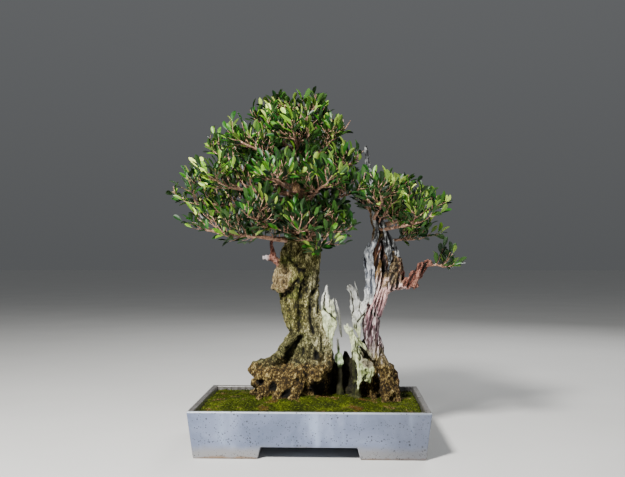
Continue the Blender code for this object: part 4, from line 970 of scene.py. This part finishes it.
# Which parts of the deadwood are green, brown, mossy or grey, and where painted shade darkens it, by their
# places in metres.
height_of = z + (where.cloud(45, 4, 0.6) - 0.5) * 0.10
greened = height_of.fade(0.305, 0.250) * x.fade(0.058, 0.050) | height_of.fade(0.268, 0.222)
brownish = height_of.fade(0.200, 0.178) * x.fade(0.088, 0.104) * height_of.fade(0.150, 0.160)
post = y.fade(-0.018, -0.014) * height_of.fade(0.196, 0.176)
tuft = y.fade(0.000, 0.004) * z.fade(0.146, 0.152) * z.fade(0.186, 0.180)
sliver = y.fade(0.004, 0.008) * z.fade(0.186, 0.196) * x.fade(0.090, 0.080)
strip = x.fade(0.099, 0.104) * z.fade(0.268, 0.306)
shaded_spire = height_of.fade(0.392, 0.420) | x.fade(0.127, 0.134)
tone = white.under(
    (greened * 0.85, pale_green),
    (brownish * 0.8, shade.ramp((0.2, 18, 10, 8), (0.8, 96, 76, 70))),
    (height_of.fade(0.158, 0.146) * 0.8, pale_green),
    # Moss green darkened near black with painted shade, on the post at the back.
    (post, moss_and_shade),
    # Painted shade: the deadwood low at the back, in the hollow stump, is near black.
    (y.fade(0.004, 0.008) * z.fade(0.150, 0.140), shade.ramp((0.2, 6, 5, 3), (0.9, 48, 46, 24))),
    (tuft, shade.ramp((0.2, 110, 140, 80), (0.6, 186, 216, 152), (0.9, 232, 244, 212))),
    (sliver, shade.ramp((0.1, 150, 150, 138), (0.6, 250, 250, 244))),
    # Moss green with painted shade along the foot of the deadwood.
    (height_of.fade(0.104, 0.094), moss_and_shade),
    (strip, grey),
    # Painted shade: the grey strip goes near black at its top and along its right edge.
    (strip * shaded_spire, shaded_grey),
)
finish(bleached, tone, lines["Fibres"] - lines["Checks"] * 0.5, 1.2 * MM,
       Roughness=0.8, Specular_IOR_Level=0.3)
dead_wood = []
for name, node, runs, plates, lumps in (
    ("split_shard_left", "deadwood_left_shard", LEFT_SHARD, LEFT_PLATES, ()),
    ("split_shards_right", "deadwood_right_shards", RIGHT_SHARDS, RIGHT_PLATES, POST_KNOBS),
    ("grey_strip", "deadwood_jin", JIN, JIN_PLATES, ()),
):
    parts = [strand(knots, steps=24, flat=flat) for flat, *knots in runs]
    parts += [splinter(outline, *size) for size, *outline in plates] + [burl(*lump) for lump in lumps]
    wood = grown_together(name, parts, DEAD_VOXEL)
    weather(wood, dead_relief)
    cut_level(wood, WOOD_FOOT)
    cover(wood, bleached)
    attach(wood, "root")
    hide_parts(node)
    dead_wood.append(wood)

# The crown is thirty-one limbs and sixteen short inner ones, with twigs, side shoots, and leaves in crossed
# pairs round their ends. A limb follows the same seeded line as in the frame, and so do its first twigs.
UP = Vector((0.0, 0.0, 1.0))
GOLDEN_TURN, GOLDEN_SHARE = math.radians(137.5), 0.618
LIMB_POINTS, LIMB_STEPS, LIMB_CROOK, LIMB_END = 5, 21, 0.05, 1.7 * MM
TWIGS, FRAME_TWIGS, BRANCH_TWIGS, INNER_TWIGS = 13, 4, 8, 9
TWIG_RADII = (1.35 * MM, 0.9 * MM, 0.6 * MM)
SHOOT_RADII, SIDE_SHOOTS = (0.8 * MM, 0.6 * MM, 0.45 * MM), (0.34, 0.58, 0.78)
LEAF_LENGTH, LEAF_WIDTH = 25.5 * MM, 9.2 * MM
LEAF_STEP, LEAF_ROOM, WOOD_ROOM = 11.5 * MM, 9.6 * MM, 8 * MM
LEAF_THICKNESS, LEAF_KEEL, LEAF_DROOP = 0.022, 0.16, 0.16
SHORTEST_TWIG, TOP_ROOM, BOX_MARGIN = 24 * MM, 18 * MM, 0.2 * MM
LEAF_EDGE = ((0.0, 0.05), (0.14, 0.08), (0.36, 0.36), (0.62, 0.50), (0.86, 0.38), (1.0, 0.03))
CROWN_TOP = (
    (-310, 480), (-289, 516), (-269, 578), (-228, 612), (-221, 638), (-190, 655), (-158, 645), (-141, 667),
    (-110, 691), (-79, 714), (-55, 714), (-35, 702), (-14, 714), (27, 714), (41, 686), (64, 652), (88, 628),
    (98, 586), (104, 552), (183, 546), (237, 531), (264, 508), (311, 484),
)
TRUNK_LINES = {
    "left": ((-20, 4, 396), (-24, 5, 436), (-28, 5, 477), (-22, 6, 518), (-18, 5, 559), (-28, 4, 600),
             (-41, 3, 641)),
    "right": ((134, 4, 386), (136, 5, 416), (130, 6, 446), (121, 6, 476)),
    "branch": ((219, -10, 350), (238, -11, 362)),
}
# A limb is its name, where it leaves its trunk, its tip's x, y and z, and its thickness, in millimetres.
LIMBS = (
    ("left_low_front", 404, -206, -66, 424, 6), ("left_low_back", 438, -222, 54, 452, 6),
    ("left_far", 462, -262, -10, 490, 6), ("left_mid_front", 486, -196, -84, 524, 6),
    ("left_upper", 516, -200, 16, 586, 6), ("left_upper_front", 546, -132, -92, 592, 5),
    ("top_left", 584, -112, -14, 646, 5), ("apex_left", 632, -76, 10, 670, 3.5),
    ("apex_right", 614, 2, -10, 670, 4), ("right_upper", 566, 62, -18, 622, 5),
    ("right_mid", 520, 84, -34, 560, 5), ("right_limb", 474, 88, -84, 496, 5.5),
    ("right_low", 416, 60, -74, 420, 5), ("front_low", 428, -18, -152, 416, 5.5),
    ("front_low_left", 444, -112, -142, 446, 5.5), ("front_mid", 500, -66, -152, 516, 5.5),
    ("front_right", 478, 34, -146, 506, 5), ("front_upper", 562, -30, -118, 606, 5),
    ("back_low_left", 430, -104, 154, 440, 6), ("back_low_right", 422, 40, 158, 434, 6),
    ("back_mid_left", 500, -142, 122, 552, 5.5), ("back_mid_right", 506, 48, 136, 552, 5.5),
    ("back_upper", 572, -42, 106, 630, 5), ("crown_top", 464, 184, 14, 512, 4.5),
    ("crown_far", 436, 250, 28, 470, 5), ("crown_front", 428, 212, -88, 438, 4.5),
    ("crown_low", 404, 226, 56, 410, 4.5), ("crown_back", 428, 190, 98, 468, 4.5),
    ("crown_inner_front", 446, 132, -112, 492, 4.5), ("crown_inner_back", 450, 112, 100, 498, 4.5),
    ("low_branch", 356, 272, -14, 352, 3.2),
)
INNER_LIMBS = (
    ("apex_left", 634, -50, -10, 664, 2.6), ("apex_right", 604, 20, 8, 648, 2.6),
    ("top_left", 572, -70, -74, 612, 3), ("back_upper", 556, 16, 70, 600, 3),
    ("front_mid", 512, -10, -96, 546, 3), ("left_mid_front", 494, -128, -40, 512, 3.2),
    ("left_upper", 530, -112, -20, 566, 3.2), ("right_limb", 490, 36, -54, 508, 3),
    ("right_low", 432, 26, -84, 446, 3), ("front_low", 414, 14, -116, 384, 3),
    ("front_low_left", 430, -92, -84, 432, 3.2), ("left_low_front", 410, -118, -44, 410, 3.2),
    ("back_mid_left", 486, -72, 84, 520, 3.2), ("crown_inner_front", 440, 150, -62, 462, 2.8),
    ("crown_far", 444, 200, -24, 470, 2.8), ("crown_back", 440, 148, 56, 478, 2.8),
)


def crown_top(x):
    """How high the crown is let grow at this place from left to right."""
    return float(np.interp(x / MM, *zip(*CROWN_TOP))) * MM


def fork_place(trunk, height):
    """The trunk's middle at a height in millimetres."""
    line = TRUNK_LINES[trunk]
    for low, high in zip(line, line[1:]):
        if height <= high[2] or high is line[-1]:
            return (Vector(low) * MM).lerp(Vector(high) * MM, (height - low[2]) / (high[2] - low[2]))


def limb_route(number, trunk, height, tip):
    """Out from the trunk, a little crooked, and lifting towards its tip."""
    draws = random.Random(100 + number)
    start, end = fork_place(trunk, height), Vector(tip) * MM
    span = end - start
    side = span.cross(UP).normalized()
    route = []
    for step in range(LIMB_POINTS):
        share = step / (LIMB_POINTS - 1)
        point = start + span * share
        point.z = start.z + span.z * share**1.5
        if 0 < step < LIMB_POINTS - 1:
            crook = span.length * LIMB_CROOK
            point += side * crook * draws.uniform(-1, 1) + UP * crook * draws.uniform(-0.6, 0.6)
        route.append(point)
    return route


def point_along(route, share):
    along = share * (len(route) - 1)
    low = min(int(along), len(route) - 2)
    return route[low].lerp(route[low + 1], along - low), (route[low + 1] - route[low]).normalized()


def twig_line(number, twig, route):
    """Where a twig starts and ends. The first carries the limb on, and the others fan out."""
    draws = random.Random(1000 * number + twig)
    reach = (route[-1] - route[0]).length
    if twig == 0:
        start, along = point_along(route, 0.97)
        return start, start + (along + UP * 0.35).normalized() * draws.uniform(28, 36) * MM
    share = 0.40 + 0.52 * ((twig * GOLDEN_SHARE) % 1.0)
    start, along = point_along(route, share)
    side = along.cross(UP).normalized()
    turn = twig * GOLDEN_TURN + number
    lift = 0.42 + 0.42 * math.sin(turn) if twig < FRAME_TWIGS else draws.uniform(0.2, 1.6)
    way = (along * 0.5 + side * 0.95 * math.cos(turn) + UP * lift).normalized()
    length = min(72 * MM, max(36 * MM, reach * (0.42 - 0.2 * share))) * draws.uniform(0.85, 1.1)
    end = start + way * length
    while length > SHORTEST_TWIG and end.z > crown_top(end.x) - TOP_ROOM:
        length *= 0.9
        end = start + way * length
    return start, end


def bowed(start, end, draws, points=7):
    """A twig's line with a little sag and sway that turns up at its end."""
    span = end - start
    side = span.cross(UP).normalized()
    sway = span.length * 0.07 * draws.uniform(-1, 1)
    middle = start + span * 0.5 + side * sway - UP * span.length * 0.07
    return smooth_route([start, middle, end], points)


def leaf_blade():
    """One leaf of unit length and width: its points, its faces, and which of them face down."""
    deselect_all()
    bpy.ops.mesh.primitive_grid_add(x_subdivisions=2, y_subdivisions=len(LEAF_EDGE) - 1, size=1)
    blade = bpy.context.object
    rows = [round((point.co.y + 0.5) * (len(LEAF_EDGE) - 1)) for point in blade.data.vertices]
    for point, row in zip(blade.data.vertices, rows):
        along, half = LEAF_EDGE[row]
        across = 2 * point.co.x
        point.co = (across * half, along, abs(across) * half * LEAF_KEEL - LEAF_DROOP * along**2)
    shape = bmesh.new()
    shape.from_mesh(blade.data)
    bpy.data.objects.remove(blade, do_unlink=True)
    under = bmesh.ops.duplicate(shape, geom=shape.verts[:] + shape.edges[:] + shape.faces[:])["geom"]
    under_faces = [item for item in under if isinstance(item, bmesh.types.BMFace)]
    bmesh.ops.reverse_faces(shape, faces=under_faces)
    for point in {point for face in under_faces for point in face.verts}:
        if abs(point.co.x) < 0.001 and 0.001 < point.co.y < 0.999:
            point.co.z -= LEAF_THICKNESS
    bmesh.ops.remove_doubles(shape, verts=shape.verts, dist=0.0001)
    shape.verts.index_update()
    shape.normal_update()
    points = np.array([point.co[:] for point in shape.verts])
    faces = [[point.index for point in face.verts] for face in shape.faces]
    under_side = [int(face.normal.z < 0) for face in shape.faces]
    shape.free()
    return points, faces, under_side


leaf_points, leaf_faces, leaf_under = leaf_blade()


class Leaves:
    """The leaves of one limb, gathered before they are made into one mesh."""

    taken = {}

    def __init__(self):
        self.corners, self.faces, self.tones, self.sides = [], [], [], []

    def has_room(self, middle):
        """Whether no other leaf's middle is close by."""
        cell = tuple(round(value / LEAF_ROOM) for value in middle)
        steps = (-1, 0, 1)
        near = [(cell[0] + x, cell[1] + y, cell[2] + z) for x in steps for y in steps for z in steps]
        if any((middle - other).length < LEAF_ROOM for key in near for other in self.taken.get(key, ())):
            return False
        self.taken.setdefault(cell, []).append(middle)
        return True

    def add(self, root, way, face, length, width, tone):
        across = way.cross(face).normalized()
        up = across.cross(way).normalized()
        middle = root + way * length * 0.55
        if wood_tree.find_nearest(middle, WOOD_ROOM)[0] is not None or not self.has_room(middle):
            return
        turn = np.array([across * width, way * length, up * length])
        placed = leaf_points @ turn + np.array(root)
        tip = root + way * length
        if (placed < leaf_low).any() or (placed > leaf_high).any() or tip.z > crown_top(tip.x):
            return
        base = len(self.tones)
        self.corners += placed.tolist()
        self.faces += [[base + corner for corner in face] for face in leaf_faces]
        self.tones += [tone] * len(placed)
        self.sides += leaf_under


def leaf_shoot(leaves, line, pairs, draws):
    """Leaves round a shoot's end: one at its tip, and crossed pairs down it. How many points they add."""
    before = len(leaves.tones)
    tip, along = line[-1], (line[-1] - line[-2]).normalized()
    across = along.cross(UP).normalized()
    base_turn = draws.uniform(0, math.pi)
    # Leaves high up and out at the crown's edge get a lighter green, those low and deep inside a darker one:
    # partly younger growth, partly painted light and shade.
    outward = share_of((tip - crown_middle).length, 0.08, 0.26)
    fresh_and_lit = 0.5 * share_of(tip.z, 380 * MM, 700 * MM) + 0.5 * outward
    spots = [(0, 0.0, 1.0)]
    for pair in range(pairs):
        for side in (0, 1):
            spots.append((pair * LEAF_STEP, base_turn + pair * math.pi / 2 + side * math.pi, 0.0))
    total = (line[-1] - line[0]).length
    for back, turn, is_tip in spots:
        spread = math.radians(12 if is_tip else 32 + 6 * back / LEAF_STEP) * draws.uniform(0.75, 1.3)
        out = Matrix.Rotation(turn + draws.uniform(-0.4, 0.4), 3, along) @ across
        lift = UP * draws.uniform(0.15, 0.55)
        way = (along * math.cos(spread) + out * math.sin(spread) + lift).normalized()
        face = along * math.sin(spread) - out * math.cos(spread) + UP * 0.9
        face = Matrix.Rotation(draws.uniform(-0.8, 0.8), 3, way) @ face
        root, _ = point_along(line, max(0.0, 1 - back / total))
        size = draws.uniform(0.78, 1.12)
        tone = clamp(0.02 + 0.48 * fresh_and_lit + draws.gauss(0, 0.25) + 0.2 * is_tip)
        leaves.add(root, way, face, LEAF_LENGTH * size, LEAF_WIDTH * size * draws.uniform(0.85, 1.12), tone)
    return len(leaves.tones) - before


leaf_upper, where = new_material("leaf_upper")
mottle = where.cloud(160, 3, 0.5)
green = (where.kept("tone") + (mottle - 0.5) * 0.35).ramp(
    (0.0, 3, 22, 2), (0.26, 9, 54, 4), (0.46, 34, 90, 8), (0.70, 114, 156, 38), (1.0, 214, 232, 116),
)
finish(leaf_upper, green, mottle, 0.3 * MM,
       Roughness=mottle.ramp((0.3, 0.34), (0.7, 0.52)), Specular_IOR_Level=0.33)
leaf_lower, where = new_material("leaf_lower")
green = where.kept("tone").ramp((0.0, 12, 44, 6), (0.5, 50, 92, 18), (1.0, 158, 186, 74))
finish(leaf_lower, green, where.cloud(160, 3, 0.5), 0.3 * MM, Roughness=0.6)

twig_bark, where = new_material("twig_bark")
streak = where.cloud(190, 5, 0.65)
tone = streak.ramp((0.34, 84, 56, 42), (0.5, 152, 114, 92), (0.66, 206, 172, 148))
finish(twig_bark, tone, streak, 0.7 * MM, Roughness=0.85)

wood_points, wood_faces = [], []
for wood in (live_wood, *dead_wood):
    base = len(wood_points)
    wood_points += [point.co.copy() for point in wood.data.vertices]
    wood_faces += [[base + corner for corner in face.vertices] for face in wood.data.polygons]
wood_tree = BVHTree.FromPolygons(wood_points, wood_faces)
crown_middle = Vector((-20, 0, 500)) * MM
leaf_low, leaf_high = (np.array(corner) + step for corner, step in zip(cad_box, (BOX_MARGIN, -BOX_MARGIN)))

for number, (name, height, *tip, thickness) in enumerate(LIMBS + INNER_LIMBS):
    trunk = "right" if name.startswith("crown_") else "branch" if name == "low_branch" else "left"
    route = limb_route(number, trunk, height, tip)
    radii = [thickness * MM, thickness * 0.62 * MM, LIMB_END]
    runs = [(smooth_route(route, LIMB_STEPS), smooth_radii(radii, LIMB_STEPS))]
    leaves = Leaves()
    count = BRANCH_TWIGS if trunk == "branch" else TWIGS if number < len(LIMBS) else INNER_TWIGS
    for twig in range(count):
        draws = random.Random(f"{number} twig {twig}")
        start, end = twig_line(number, twig, route)
        line = bowed(start, end, draws)
        if leaf_shoot(leaves, line, 4, draws) or twig < FRAME_TWIGS:
            runs.append((line, smooth_radii(TWIG_RADII, len(line))))
        for share in () if trunk == "branch" else SIDE_SHOOTS:
            root, along = point_along(line, share)
            out = Matrix.Rotation(draws.uniform(0, math.tau), 3, along) @ along.cross(UP).normalized()
            way = (along * 0.7 + out * 0.8 + UP * 0.45).normalized()
            shoot = bowed(root, root + way * draws.uniform(16, 30) * MM, draws, 5)
            if leaf_shoot(leaves, shoot, 2, draws):
                runs.append((shoot, smooth_radii(SHOOT_RADII, len(shoot))))
    label = name if number < len(LIMBS) else name + "_inner"
    twigs = to_mesh(rounded_curve("twigs_" + label, runs, 6))
    cover(twigs, twig_bark)
    twigs.data.shade_smooth()
    blades = mesh_from("leaves_" + label, leaves.corners, leaves.faces, leaf_upper)
    blades.data.materials.append(leaf_lower)
    blades.data.polygons.foreach_set("material_index", leaves.sides)
    keep(blades, "tone", leaves.tones)
    blades.data.shade_smooth()
    blades.data.set_sharp_from_angle(angle=math.radians(60))
    for piece, slot_name in ((twigs, "olive_bark"), (blades, "olive_leaf")):
        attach(piece, "root")
        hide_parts("spray_" + name)

# The tree stands on a plain pale floor, under soft studio light from the front left.
FLOOR_SIZE = 40.0
CAMERA_PLACE, CAMERA_LENS, SENSOR_WIDTH = (0.0622, -1.5771, 0.3719), 44.94, 36
CAMERA_YAW, CAMERA_PITCH = math.radians(2.21), math.radians(1.34)
deselect_all()
bpy.ops.mesh.primitive_plane_add(size=FLOOR_SIZE)
floor = bpy.context.object
floor.name = "studio_floor"
floor_paint, where = new_material("pale_floor")
finish(floor_paint, where.cloud(3, 3).ramp((0.3, 206, 206, 204), (0.7, 211, 211, 209)), Roughness=0.9)
cover(floor, floor_paint)

for name, place, target, size, power, colour in (
    ("key", (-0.7, -1.45, 1.65), (0, 0, 0.3), 0.34, 122, (1.0, 0.98, 0.94)),
    ("fill", (1.8, -1.6, 1.0), (0, 0, 0.3), 1.4, 5, (0.95, 0.97, 1.0)),
    ("back", (0.9, 1.8, 1.8), (0, 0, 0.5), 1.0, 30, (1.0, 1.0, 1.0)),
):
    lamp = bpy.data.lights.new(name, "AREA")
    lamp.size, lamp.energy, lamp.color = size, power, colour
    lamp.shape = "DISK"
    item = new_object(name, lamp)
    item.location = place
    item.rotation_euler = (Vector(target) - Vector(place)).to_track_quat("-Z", "Y").to_euler()
world = bpy.data.worlds.new("studio")
world.use_nodes = True
nodes = world.node_tree.nodes
aim = Look(nodes.new("ShaderNodeTexCoord").outputs["Generated"]).axes()[2]
plug(nodes["Background"], {"Color": aim.ramp((0.0, 174, 177, 180), (1.0, 232, 235, 238)), "Strength": 0.23})
bpy.context.scene.world = world

lens = bpy.data.cameras.new("camera")
lens.lens, lens.sensor_width = CAMERA_LENS, SENSOR_WIDTH
camera = new_object("camera", lens)
camera.location = CAMERA_PLACE
look = Vector((-math.sin(CAMERA_YAW) * math.cos(CAMERA_PITCH), math.cos(CAMERA_YAW) * math.cos(CAMERA_PITCH),
               math.sin(CAMERA_PITCH)))
camera.rotation_euler = look.to_track_quat("-Z", "Y").to_euler()
bpy.context.scene.camera = camera
